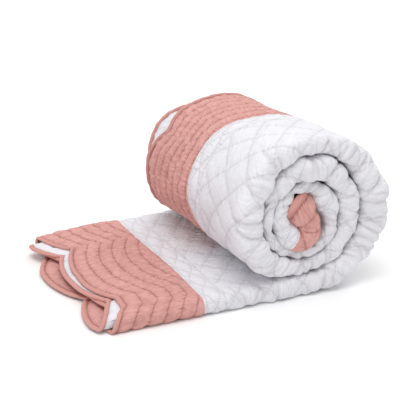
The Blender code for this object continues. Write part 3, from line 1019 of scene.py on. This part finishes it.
def side_binding(node, rows, inner):
    """The bound edge of a side, from its outermost line inwards."""
    t = side_edge(rows, inner)[:, None] + BINDING * PART_IN
    s = np.broadcast_to(rows[:, None], t.shape)
    across = np.broadcast_to(OVAL, s.shape)
    if inner:
        s, t, across = s[:, ::-1], WIDTH - t[:, ::-1], across[:, ::-1]
    return binding_piece(node, s, t, across)


foot_binding = end_binding("foot_binding", foot_columns, foot_out, foot_out + BINDING)
head_binding = end_binding("head_binding", head_columns, head_out, head_out - BINDING)
outer_binding = side_binding("outer_side_binding", side_rows(OUTER_ROWS), False)
inner_binding = side_binding("inner_side_binding", side_rows(OUTER_ROWS), True)

# %% [markdown]
# ## Helpers for shader nodes
# A finish is a tree of nodes that works out the colour and the height at each place. It
# could be joined by hand in the editor, but a script can be read and repeated. These helpers
# add one node, set its inputs and hand back its output, so that a pattern reads like the sum
# it is.

# %% Node helpers
def wire(tree, socket, value):
    """Link an output to a socket, or set a plain value on it."""
    if isinstance(value, bpy.types.NodeSocket):
        tree.links.new(value, socket)
    elif value is not None:
        socket.default_value = value


def maths(tree, operation, *values):
    """A Math node's output."""
    node = tree.nodes.new("ShaderNodeMath")
    node.operation = operation
    for socket, value in zip(node.inputs, values):
        wire(tree, socket, value)
    return node.outputs[0]


def joined(tree, x, y, z=0.0):
    """A vector from three values."""
    node = tree.nodes.new("ShaderNodeCombineXYZ")
    for socket, value in zip(node.inputs, (x, y, z)):
        wire(tree, socket, value)
    return node.outputs[0]


def noise(tree, vector, scale, detail=2.0, roughness=0.5):
    """Noise from 0 to 1 at a vector."""
    node = tree.nodes.new("ShaderNodeTexNoise")
    wire(tree, node.inputs["Vector"], vector)
    wire(tree, node.inputs["Scale"], scale)
    wire(tree, node.inputs["Detail"], detail)
    wire(tree, node.inputs["Roughness"], roughness)
    return node.outputs["Fac"]


def new_group(name, inputs, outputs):
    """A shader node group with named inputs and outputs."""
    group = bpy.data.node_groups.new(name, "ShaderNodeTree")
    for label, kind, value in inputs:
        socket = group.interface.new_socket(label, in_out="INPUT", socket_type=kind)
        if value is not None:
            socket.default_value = value
    for label, kind in outputs:
        group.interface.new_socket(label, in_out="OUTPUT", socket_type=kind)
    return group, group.nodes.new("NodeGroupInput").outputs, group.nodes.new("NodeGroupOutput").inputs


FLOAT, VECTOR, COLOUR = "NodeSocketFloat", "NodeSocketVector", "NodeSocketColor"
print("socket kinds for groups", FLOAT, VECTOR, COLOUR)

# %% [markdown]
# ## A stitched row
# The mesh has the larger puckers, but its grid is too wide for the finer ones and for sharp
# valleys between them. So those are a height in the finish. Like the larger ones they stand
# square to the row, and a centimetre away they are half as high as beside it. A texture could
# be painted for each cloth. One group does them all: it takes a count of rows across the
# cloth and the length along them, and gives the distance to the nearest row, the puckers
# beside it, the dashes of its thread and the valleys between puckers.

# %% The stitched row group
DASH = 0.7              # part of a stitch's length that shows
THREAD_HALF = 0.00045
NARROW_VALLEY = -22.0   # the further below 0, the narrower a valley
ROW, row_in, row_out = new_group(
    "Stitched row",
    (("Count", FLOAT, 0.0), ("Along", FLOAT, 0.0), ("Spacing", FLOAT, 0.03),
     ("Pucker length", FLOAT, 0.0085), ("Pucker reach", FLOAT, 0.010), ("Stitch", FLOAT, 0.0035)),
    (("Distance", FLOAT), ("Pucker", FLOAT), ("Thread", FLOAT), ("Crease", FLOAT)))
number = maths(ROW, "FLOOR", maths(ROW, "ADD", row_in["Count"], 0.5))
off_row = maths(ROW, "SUBTRACT", row_in["Count"], number)
row_distance = maths(ROW, "MULTIPLY", maths(ROW, "ABSOLUTE", off_row), row_in["Spacing"])
row_place = joined(ROW, maths(ROW, "DIVIDE", row_in["Along"], row_in["Pucker length"]),
                   maths(ROW, "MULTIPLY", row_in["Count"], 0.9), maths(ROW, "MULTIPLY", number, 7.3))
ripple = maths(ROW, "ABSOLUTE", maths(ROW, "SUBTRACT", noise(ROW, row_place, 1.0, 1.5), 0.5))
row_fade = maths(ROW, "EXPONENT", maths(ROW, "DIVIDE", row_distance,
                                        maths(ROW, "MULTIPLY", row_in["Pucker reach"], -1.0)))
row_fade = maths(ROW, "MULTIPLY_ADD", row_fade, 0.75, 0.25)
valley = maths(ROW, "EXPONENT", maths(ROW, "MULTIPLY", ripple, NARROW_VALLEY))
dash = maths(ROW, "FRACT", maths(ROW, "DIVIDE", row_in["Along"], row_in["Stitch"]))
on_dash = maths(ROW, "LESS_THAN", dash, DASH)
on_row = maths(ROW, "LESS_THAN", row_distance, THREAD_HALF)
wire(ROW, row_out["Distance"], row_distance)
wire(ROW, row_out["Pucker"], maths(ROW, "MULTIPLY", ripple, row_fade))
# Crease: the valleys between puckers, where the finish paints shade into the colour.
wire(ROW, row_out["Crease"], maths(ROW, "MULTIPLY", valley, row_fade))
wire(ROW, row_out["Thread"], maths(ROW, "MULTIPLY", on_dash, on_row))
print(ROW.name, len(ROW.nodes), "nodes")


def stitched_row(tree, count, along, spacing, **more):
    """A Stitched row in a tree: distance, pucker, thread and crease."""
    node = tree.nodes.new("ShaderNodeGroup")
    node.node_tree = ROW
    for label, value in (("Count", count), ("Along", along), ("Spacing", spacing), *more.items()):
        wire(tree, node.inputs[label.replace("_", " ")], value)
    return [node.outputs[label] for label in ("Distance", "Pucker", "Thread", "Crease")]


# %% [markdown]
# ## Washed cotton, with painted shade
# Between the rows the cloth is not smooth either. Washing leaves a fine crumple, and close up the plain
# weave of the threads shows. Every cloth of the quilt has both, so they are one group too, placed in each
# material with its own values. It also paints shade into the colour along the rows and in the creases,
# where less light reaches the cloth, and on the coral cloth that painted shade is a warm one.

# %% The height of washed cotton
COTTON, cotton_in, cotton_out = new_group(
    "Washed cotton with painted shade",
    (("Cloth", VECTOR, None), ("Colour", COLOUR, None), ("Row distance", FLOAT, 1.0),
     ("Pucker", FLOAT, 0.0), ("Thread", FLOAT, 0.0), ("Crease", FLOAT, 0.0),
     ("Crumple", FLOAT, 0.0030), ("Weave", FLOAT, 0.00006), ("Row shade", FLOAT, 0.13),
     ("Row width", FLOAT, 0.0010), ("Crease shade", FLOAT, 0.11), ("Warmth", FLOAT, 0.3)),
    (("Colour", COLOUR), ("Height", FLOAT), ("Roughness", FLOAT)))
WEAVE_PITCH = 0.0011    # one thread over and one under
PUCKER_HEIGHT = 0.0080
THREAD_HEIGHT = 0.0002
CRUMPLES, PATCHES, YARNS = 62.0, 9.0, 900.0   # in a metre
split = COTTON.nodes.new("ShaderNodeSeparateXYZ")
wire(COTTON, split.inputs[0], cotton_in["Cloth"])
crumple = maths(COTTON, "SUBTRACT", noise(COTTON, cotton_in["Cloth"], CRUMPLES, 3.0, 0.55), 0.5)
thread_turns = 2 * math.pi / WEAVE_PITCH
warp = maths(COTTON, "SINE", maths(COTTON, "MULTIPLY", split.outputs[0], thread_turns))
weft = maths(COTTON, "SINE", maths(COTTON, "MULTIPLY", split.outputs[1], thread_turns))
weave = maths(COTTON, "MULTIPLY", maths(COTTON, "MULTIPLY", warp, weft), cotton_in["Weave"])
height = maths(COTTON, "ADD", maths(COTTON, "MULTIPLY", crumple, cotton_in["Crumple"]), weave)
height = maths(COTTON, "ADD", height, maths(COTTON, "MULTIPLY", cotton_in["Pucker"], PUCKER_HEIGHT))
height = maths(COTTON, "ADD", height, maths(COTTON, "MULTIPLY", cotton_in["Thread"], THREAD_HEIGHT))
wire(COTTON, cotton_out["Height"], height)
print("threads in a centimetre", round(0.01 / WEAVE_PITCH * 2))

# %% Its colour, with painted shade along the rows and in the creases
near_row = maths(COTTON, "EXPONENT", maths(COTTON, "DIVIDE", cotton_in["Row distance"],
                                           maths(COTTON, "MULTIPLY", cotton_in["Row width"], -1.0)))
patchy = maths(COTTON, "MULTIPLY_ADD", noise(COTTON, cotton_in["Cloth"], PATCHES, 4.0), 0.10, 0.95)
yarns = maths(COTTON, "MULTIPLY_ADD", noise(COTTON, cotton_in["Cloth"], YARNS, 1.0), 0.08, 0.96)
# Painted shade: the colour is darkened in each row's ditch and in the creases, with a warm tint on the
# coral cloth.
shaded = maths(COTTON, "SUBTRACT", 1.0, maths(COTTON, "MULTIPLY", near_row, cotton_in["Row shade"]))
painted_crease_shade = maths(COTTON, "SUBTRACT", 1.0,
               maths(COTTON, "MULTIPLY", cotton_in["Crease"], cotton_in["Crease shade"]))
level = maths(COTTON, "MULTIPLY", shaded, painted_crease_shade)
less_red = maths(COTTON, "MULTIPLY_ADD", cotton_in["Warmth"], -0.22, 1.0)
more_else = maths(COTTON, "MULTIPLY_ADD", cotton_in["Warmth"], 0.12, 1.0)
warm = joined(COTTON, maths(COTTON, "POWER", level, less_red),
              maths(COTTON, "POWER", level, more_else), maths(COTTON, "POWER", level, more_else))
tinted = COTTON.nodes.new("ShaderNodeVectorMath")
tinted.operation = "MULTIPLY"
wire(COTTON, tinted.inputs[0], cotton_in["Colour"])
wire(COTTON, tinted.inputs[1], warm)
scaled = COTTON.nodes.new("ShaderNodeVectorMath")
scaled.operation = "SCALE"
wire(COTTON, scaled.inputs[0], tinted.outputs[0])
wire(COTTON, scaled.inputs["Scale"], maths(COTTON, "MULTIPLY", patchy, yarns))
wire(COTTON, cotton_out["Colour"], scaled.outputs[0])
wire(COTTON, cotton_out["Roughness"], maths(COTTON, "MULTIPLY_ADD", near_row, 0.05, 0.88))
print(COTTON.name, len(COTTON.nodes), "nodes")


# %% [markdown]
# ## Which row is nearest
# The white middle has diamonds and the cable, the coral borders and their white backing have
# the echo rows, and the binding has one sewn row. The rows could be painted on a map. As
# sums of s and t they stay sharp at any distance, and they lie exactly in the ditches of the
# mesh, because both use the same spacings.

# %% Sets of rows
def map_axes(tree, name):
    """The map's vector and its two lengths."""
    node = tree.nodes.new("ShaderNodeUVMap")
    node.uv_map = name
    parts = tree.nodes.new("ShaderNodeSeparateXYZ")
    wire(tree, parts.inputs[0], node.outputs[0])
    return node.outputs[0], parts.outputs[0], parts.outputs[1]


def nearest(tree, first, second):
    """The nearer of two stitched rows, with the puckers and thread of both."""
    return (maths(tree, "MINIMUM", first[0], second[0]), maths(tree, "ADD", first[1], second[1]),
            maths(tree, "MAXIMUM", first[2], second[2]), maths(tree, "MAXIMUM", first[3], second[3]))


def chosen(tree, mask, first, second):
    """The first set of rows where the mask is 0, and the second where it is 1."""
    mixed = []
    for one, other in zip(first, second):
        step = maths(tree, "SUBTRACT", other, one)
        mixed.append(maths(tree, "MULTIPLY_ADD", step, mask, one))
    return mixed


def diamond_rows(tree, s, t):
    """The two sets of slanting rows."""
    rows = []
    for turn in (1.0, -1.0):
        count = maths(tree, "ADD", maths(tree, "DIVIDE", s, DIAMOND_S),
                      maths(tree, "MULTIPLY", t, turn / DIAMOND_T))
        along = maths(tree, "SUBTRACT", maths(tree, "MULTIPLY", s, turn * DIAMOND_APART / DIAMOND_T),
                      maths(tree, "MULTIPLY", t, DIAMOND_APART / DIAMOND_S))
        rows.append(stitched_row(tree, count, along, DIAMOND_APART))
    return nearest(tree, *rows)


def cable_rows(tree, from_seam, along):
    """Two straight rows, and the two waves of the cable between them."""
    middle = (CABLE_NEAR + CABLE_FAR) / 2
    apart = CABLE_FAR - CABLE_NEAR
    count = maths(tree, "DIVIDE", maths(tree, "SUBTRACT", from_seam, CABLE_NEAR), apart)
    rows = stitched_row(tree, count, along, apart, Pucker_reach=0.006)
    swing = maths(tree, "SINE", maths(tree, "MULTIPLY", along, math.pi / CABLE_PITCH))
    for turn in (1.0, -1.0):
        off = maths(tree, "SUBTRACT", maths(tree, "SUBTRACT", from_seam, middle),
                    maths(tree, "MULTIPLY", swing, turn * CABLE_WAVE))
        wave = stitched_row(tree, maths(tree, "DIVIDE", off, apart), along, apart, Pucker_reach=0.005)
        rows = nearest(tree, rows, wave)
    return rows


def echo_rows(tree, from_edge, along):
    """Rows at even distances from the scalloped edge."""
    count = maths(tree, "DIVIDE", maths(tree, "SUBTRACT", from_edge, ECHO_FIRST), ECHO)
    return stitched_row(tree, count, along, ECHO)


# %% Rows of the middle, the borders and the binding
FOLD_CREASE = 0.0130    # size of a fine crease along the fold
FOLD_CREASE_ACROSS = 0.040
FOLD_CREASE_REACH = 0.050
FOLD_CREASE_NARROW = -34.0   # the further below 0, the narrower its valley
FOLD_CREASE_HEIGHT = 0.8     # as a part of a pucker's
CABLE_EDGE = 0.004      # how far past its outer row the cable's rows are the nearest


def fold_creases(tree, s, t):
    """Fine creases across the near fold: a height and a shade, strongest on the fold."""
    from_fold = maths(tree, "SUBTRACT", t, NEAR_FOLD)
    place = joined(tree, maths(tree, "DIVIDE", s, FOLD_CREASE),
                   maths(tree, "DIVIDE", from_fold, FOLD_CREASE_ACROSS))
    ripple = maths(tree, "ABSOLUTE", maths(tree, "SUBTRACT", noise(tree, place, 1.0, 1.0), 0.5))
    off = maths(tree, "DIVIDE", from_fold, FOLD_CREASE_REACH)
    near = maths(tree, "EXPONENT", maths(tree, "MULTIPLY", maths(tree, "MULTIPLY", off, off), -1.0))
    valley = maths(tree, "EXPONENT", maths(tree, "MULTIPLY", ripple, FOLD_CREASE_NARROW))
    return maths(tree, "MULTIPLY", ripple, near), maths(tree, "MULTIPLY", valley, near)


def middle_rows(tree, s, t, away, along):
    """Diamonds, and the cable beside the seam."""
    beside = maths(tree, "LESS_THAN", away, CABLE_FAR + CABLE_EDGE)
    distance, pucker, thread, crease = chosen(tree, beside, diamond_rows(tree, s, t),
                                              cable_rows(tree, away, along))
    ripple, valley = fold_creases(tree, s, t)
    return (distance, maths(tree, "MULTIPLY_ADD", ripple, FOLD_CREASE_HEIGHT, pucker), thread,
            maths(tree, "MAXIMUM", crease, valley))


def border_rows(tree, s, t, away, along):
    """The echo rows, whose distance and length are those of the "rows" map."""
    return echo_rows(tree, away, along)


def binding_rows(tree, s, t, away, along):
    """One sewn row on the binding's inner edge."""
    count = maths(tree, "DIVIDE", maths(tree, "SUBTRACT", away, BINDING - 0.0008), BINDING * 3)
    return stitched_row(tree, count, along, BINDING * 3, Pucker_length=0.006, Pucker_reach=0.006)


print("rows for", [rows.__name__ for rows in (middle_rows, border_rows, binding_rows)])

# %% [markdown]
# ## The quilt's four finishes
# All four are dull cotton, dyed in the piece, and differ in colour, in their rows and in how
# much they crumple. One function builds them: it reads the two maps of a cloth, asks for its
# nearest row, and leaves the rest to the group. The height feeds a Bump node, and the
# Principled BSDF stays in the material itself.

# %% One finish
def cotton_finish(slot, colour, rows_of, shine, **more):
    """A cotton material whose rows come from a function of its two maps."""
    finish = bpy.data.materials.new(slot)
    finish.use_nodes = True
    tree = finish.node_tree
    shader = tree.nodes["Principled BSDF"]
    cloth, s, t = map_axes(tree, "cloth")
    _, away, along = map_axes(tree, "rows")
    distance, pucker, thread, crease = rows_of(tree, s, t, away, along)
    # The creases attribute and the rows' valleys only feed the painted shade in the colour.
    pressed = tree.nodes.new("ShaderNodeAttribute")
    pressed.attribute_name = "creases"
    crease = maths(tree, "MAXIMUM", crease, pressed.outputs["Fac"])
    cotton = tree.nodes.new("ShaderNodeGroup")
    cotton.node_tree = COTTON
    settings = {"Cloth": cloth, "Colour": (*colour, 1.0), "Row distance": distance,
                "Pucker": pucker, "Thread": thread, "Crease": crease, **more}
    for label, value in settings.items():
        wire(tree, cotton.inputs[label.replace("_", " ")], value)
    bump = tree.nodes.new("ShaderNodeBump")
    bump.inputs["Strength"].default_value = 1.0
    bump.inputs["Distance"].default_value = 1.0
    wire(tree, bump.inputs["Height"], cotton.outputs["Height"])
    wire(tree, shader.inputs["Base Color"], cotton.outputs["Colour"])
    wire(tree, shader.inputs["Roughness"], cotton.outputs["Roughness"])
    wire(tree, shader.inputs["Normal"], bump.outputs["Normal"])
    shader.inputs["Specular IOR Level"].default_value = shine
    return finish


# %% The finishes, put on the pieces
WHITE = (0.790, 0.785, 0.825)
CORAL = (0.700, 0.375, 0.338)
BOUND = (0.650, 0.325, 0.288)
FINISHES = {
    "white_cotton": cotton_finish("white_cotton", WHITE, middle_rows, 0.2),
    # The coral cloth gets more painted shade along its rows and in its creases, in a warm tint.
    "coral_cotton": cotton_finish("coral_cotton", CORAL, border_rows, 0.2, Row_shade=0.40,
                                  Row_width=0.0012, Crease_shade=0.42, Crumple=0.0042,
                                  Warmth=1.0),
    "white_backing": cotton_finish("white_backing", WHITE, border_rows, 0.2),
    "coral_binding": cotton_finish("coral_binding", BOUND, binding_rows, 0.25, Crumple=0.0005),
}
pieces = {
    "white_cotton": middle,
    "coral_cotton": [foot_border, head_border, outer_border, inner_border],
    "white_backing": [foot_backing, inner_backing],
    "coral_binding": [foot_binding, head_binding, outer_binding, inner_binding],
}
for slot, made in pieces.items():
    for piece in made:
        piece.data.materials.append(FINISHES[slot])
    print(slot, "is on", len(made), "pieces")

# %% [markdown]
# ## Sewn stitches
# The row just inside the binding is sewn last, through all the cloths, in a thread thick
# enough to see. Each stitch is a short round piece of thread, laid along the row. A loop
# could build a cylinder for each of them, but Geometry Nodes is made for such repeats: it
# walks along a line of points on the cloth and sets a stitch at every pitch. The same tree
# serves all the rows.

# %% The stitch tree
STITCH_PITCH = 0.0034
STITCH_LENGTH = 0.0024
THREAD_RADIUS = 0.00042
THREAD_RAISED = 0.4     # how far a stitch stands proud, as a part of that


def stitch_tree():
    """Geometry nodes that lay stitches along the edges of a mesh line."""
    tree = bpy.data.node_groups.new("Stitches along a line", "GeometryNodeTree")
    tree.interface.new_socket("Geometry", in_out="INPUT", socket_type="NodeSocketGeometry")
    for label, value in (("Pitch", STITCH_PITCH), ("Length", STITCH_LENGTH),
                         ("Radius", THREAD_RADIUS)):
        socket = tree.interface.new_socket(label, in_out="INPUT", socket_type=FLOAT)
        socket.default_value = value
    tree.interface.new_socket("Thread", in_out="INPUT", socket_type="NodeSocketMaterial")
    tree.interface.new_socket("Geometry", in_out="OUTPUT", socket_type="NodeSocketGeometry")
    given = tree.nodes.new("NodeGroupInput").outputs
    line = tree.nodes.new("GeometryNodeMeshToCurve")
    walk = tree.nodes.new("GeometryNodeCurveToPoints")
    walk.mode = "LENGTH"
    stitch = tree.nodes.new("GeometryNodeMeshCylinder")
    stitch.inputs["Vertices"].default_value = 6
    laid = tree.nodes.new("GeometryNodeInstanceOnPoints")
    real = tree.nodes.new("GeometryNodeRealizeInstances")
    dyed = tree.nodes.new("GeometryNodeSetMaterial")
    for source, target in (
            (given["Geometry"], line.inputs["Mesh"]), (line.outputs["Curve"], walk.inputs["Curve"]),
            (given["Pitch"], walk.inputs["Length"]), (given["Length"], stitch.inputs["Depth"]),
            (given["Radius"], stitch.inputs["Radius"]), (walk.outputs["Points"], laid.inputs["Points"]),
            (stitch.outputs["Mesh"], laid.inputs["Instance"]),
            (walk.outputs["Rotation"], laid.inputs["Rotation"]),
            (laid.outputs["Instances"], real.inputs["Geometry"]),
            (real.outputs["Geometry"], dyed.inputs["Geometry"]),
            (given["Thread"], dyed.inputs["Material"]),
            (dyed.outputs["Geometry"], tree.nodes.new("NodeGroupOutput").inputs["Geometry"])):
        tree.links.new(source, target)
    return tree


STITCHES = stitch_tree()
print(STITCHES.name, len(STITCHES.nodes), "nodes")


def thread_finish(name, colour):
    """A spun thread: one colour with a fine unevenness along it."""
    finish = bpy.data.materials.new(name)
    finish.use_nodes = True
    tree = finish.node_tree
    shader = tree.nodes["Principled BSDF"]
    place = tree.nodes.new("ShaderNodeTexCoord").outputs["Object"]
    scaled = tree.nodes.new("ShaderNodeVectorMath")
    scaled.operation = "SCALE"
    scaled.inputs[0].default_value = colour
    wire(tree, scaled.inputs["Scale"], maths(tree, "MULTIPLY_ADD", noise(tree, place, 900.0), 0.3, 0.8))
    wire(tree, shader.inputs["Base Color"], scaled.outputs[0])
    shader.inputs["Roughness"].default_value = 0.7
    return finish


# %% [markdown]
# ## The rows of stitches
# Three rows show: along the foot, and along the outer and the inner side edge. Each lies in
# the ditch of the first echo line on the face of its border. All other rows could be laid in
# the same way, but their thread is finer, and the finish draws it well enough. The result of
# the tree is made a plain mesh, and the modifier is taken off.

# %% Laying a row
def row_of_stitches(name, node, s, t, height, thread):
    """Stitches along a line of s and t, at a height off the middle of the cloth."""
    points = warped(lie(s, t) + normals(s, t)
                    * (height - gathers(s, t) + swelling(s, t) + THREAD_RADIUS * THREAD_RAISED)[..., None])
    line = bpy.data.meshes.new(name)
    line.from_pydata(points, [(i, i + 1) for i in range(len(points) - 1)], [])
    piece = bpy.data.objects.new(name, line)
    bpy.context.scene.collection.objects.link(piece)
    sewn = piece.modifiers.new("stitches", "NODES")
    sewn.node_group = STITCHES
    for item in STITCHES.interface.items_tree:
        if item.name == "Thread":
            sewn[item.identifier] = thread
    made = piece.evaluated_get(bpy.context.evaluated_depsgraph_get())
    mesh = bpy.data.meshes.new_from_object(made)
    piece.modifiers.remove(sewn)
    piece.data = mesh
    mesh.shade_smooth()
    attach(piece, "root")
    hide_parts(node)
    print(name, sum(len(face.vertices) - 2 for face in mesh.polygons), "triangles")
    return piece


# %% The three rows
ROW_POINTS = 1200
FROM_CORNER = 0.06      # the foot's row starts and ends this far from the sides
coral_thread = thread_finish("coral_thread", (0.52, 0.22, 0.19))
row_t = np.linspace(FROM_CORNER, WIDTH - FROM_CORNER, ROW_POINTS)
row_s = end_edge(row_t) + ECHO_FIRST
foot_stitches = row_of_stitches("foot_stitches", "foot_border", row_s, row_t,
                                FULL * border_half(row_s, row_t)[0], coral_thread)
row_s = np.linspace(FOOT_BORDER, LENGTH - HEAD_BORDER, ROW_POINTS)
row_t = side_edge(row_s, False) + ECHO_FIRST
outer_stitches = row_of_stitches("outer_stitches", "outer_side_border", row_s, row_t,
                                 FULL * border_half(row_s, row_t)[0], coral_thread)
row_t = WIDTH - side_edge(row_s, True) - ECHO_FIRST
inner_stitches = row_of_stitches("inner_stitches", "inner_side_border", row_s, row_t,
                                 border_half(row_s, row_t)[0], coral_thread)

# %% [markdown]
# ## The floor
# The quilt lies on a plain white floor, which is part of the stage and not of the object. It
# could curve up behind it, as a studio's backdrop does, but one flat sheet that is far larger
# than the view looks the same from every side.

# %% The sheet underneath
FLOOR_REACH = 6.0
FLOOR_SHADE = 0.93
floor_mesh = bpy.data.meshes.new("floor")
corners = [(-FLOOR_REACH, -FLOOR_REACH), (FLOOR_REACH, -FLOOR_REACH),
           (FLOOR_REACH, FLOOR_REACH), (-FLOOR_REACH, FLOOR_REACH)]
floor_mesh.from_pydata([(x, y, cad_low[2]) for x, y in corners], [], [(0, 1, 2, 3)])
floor = bpy.data.objects.new("floor", floor_mesh)
bpy.context.scene.collection.objects.link(floor)
floor_finish = bpy.data.materials.new("floor")
floor_finish.use_nodes = True
floor_shader = floor_finish.node_tree.nodes["Principled BSDF"]
floor_shader.inputs["Base Color"].default_value = (FLOOR_SHADE, FLOOR_SHADE, FLOOR_SHADE, 1.0)
floor_shader.inputs["Roughness"].default_value = 1.0
floor_shader.inputs["Specular IOR Level"].default_value = 0.0
floor_mesh.materials.append(floor_finish)
print("floor at", round(cad_low[2], 4))

# %% [markdown]
# ## The cloth's flat lengths
# That could be measured on the folded mesh, but its relief would make it too long. The grid's own s and t
# are the quilt spread out flat, and each sheet keeps them in its "cloth" map. Here they are read back
# from that map for each piece.

# %% Flat sizes
def declare(piece):
    """Read the flat s and t of a piece from its "cloth" map."""
    mesh = piece.data
    flat = np.empty(len(mesh.loops) * 2)
    mesh.uv_layers["cloth"].data.foreach_get("uv", flat)
    flat = flat.reshape(-1, 4, 2)


for piece in middle:
    declare(piece)
for border, sewn_on in ((foot_border, [foot_binding, foot_stitches]), (foot_backing, []),
                        (head_border, [head_binding]),
                        (outer_border, [outer_binding, outer_stitches]),
                        (inner_border, [inner_binding, inner_stitches]), (inner_backing, [])):
    declare(border)

# %% [markdown]
# ## Light
# A studio light for bedding is bright and even, so that white cloth keeps its shape without
# hard shadows. A bright world alone could light it, but then no fold would have a shaded
# side. So three soft lights are added. A large one hangs high above, a small one behind at
# the right leaves a faint shadow beside the loose end, and a weak one low in front reaches in
# under the roll.

# %% The lights
AROUND = 0.72           # strength of the even light from all sides
world = bpy.data.worlds.new("studio")
bpy.context.scene.world = world
world.use_nodes = True
backdrop = world.node_tree.nodes["Background"]
backdrop.inputs["Color"].default_value = (1.0, 1.0, 1.0, 1.0)
backdrop.inputs["Strength"].default_value = AROUND
bpy.context.scene.view_settings.view_transform = "Standard"


def soft_light(name, place, aim, size, power):
    """A large square light at a place, turned to an aim."""
    lamp = bpy.data.lights.new(name, "AREA")
    lamp.shape = "SQUARE"
    lamp.size = size
    lamp.energy = power
    light = bpy.data.objects.new(name, lamp)
    light.location = place
    light.rotation_euler = (Vector(aim) - Vector(place)).to_track_quat("-Z", "Y").to_euler()
    bpy.context.scene.collection.objects.link(light)
    print("light", name, power, "W")


soft_light("key", (-1.0, -1.2, 5.8), (-0.1, 0.0, 0.10), 4.0, 172.0)
soft_light("back", (1.9, 1.1, 2.3), (0.0, 0.0, 0.12), 1.2, 15.0)
soft_light("low", (-1.6, -2.0, 1.2), (-0.15, 0.0, 0.05), 1.5, 2.5)

# %% [markdown]
# ## Camera
# The object is seen from in front of its near end and a little from the left and above, with
# a long lens from afar, so that the roll's far end is hardly smaller than its near one. The
# camera could be placed by hand. Two angles and a distance say the same, and each of them can
# be changed alone.

# %% The camera
AZIMUTH = math.radians(-24.96)
HEIGHT = math.radians(22.99)
DISTANCE = 3.6
LENS = 150.94
AIM = Vector((-0.1313, 0.2, 0.1331)) + Vector(ORIGIN)
back = Vector((math.sin(AZIMUTH) * math.cos(HEIGHT), -math.cos(AZIMUTH) * math.cos(HEIGHT),
               math.sin(HEIGHT)))
lens = bpy.data.cameras.new("camera")
lens.lens = LENS
lens.sensor_width = 36.0
camera = bpy.data.objects.new("camera", lens)
camera.location = AIM + back * DISTANCE
camera.rotation_euler = back.to_track_quat("Z", "Y").to_euler()
bpy.context.scene.collection.objects.link(camera)
bpy.context.scene.camera = camera
print("camera at", [round(v, 2) for v in camera.location])
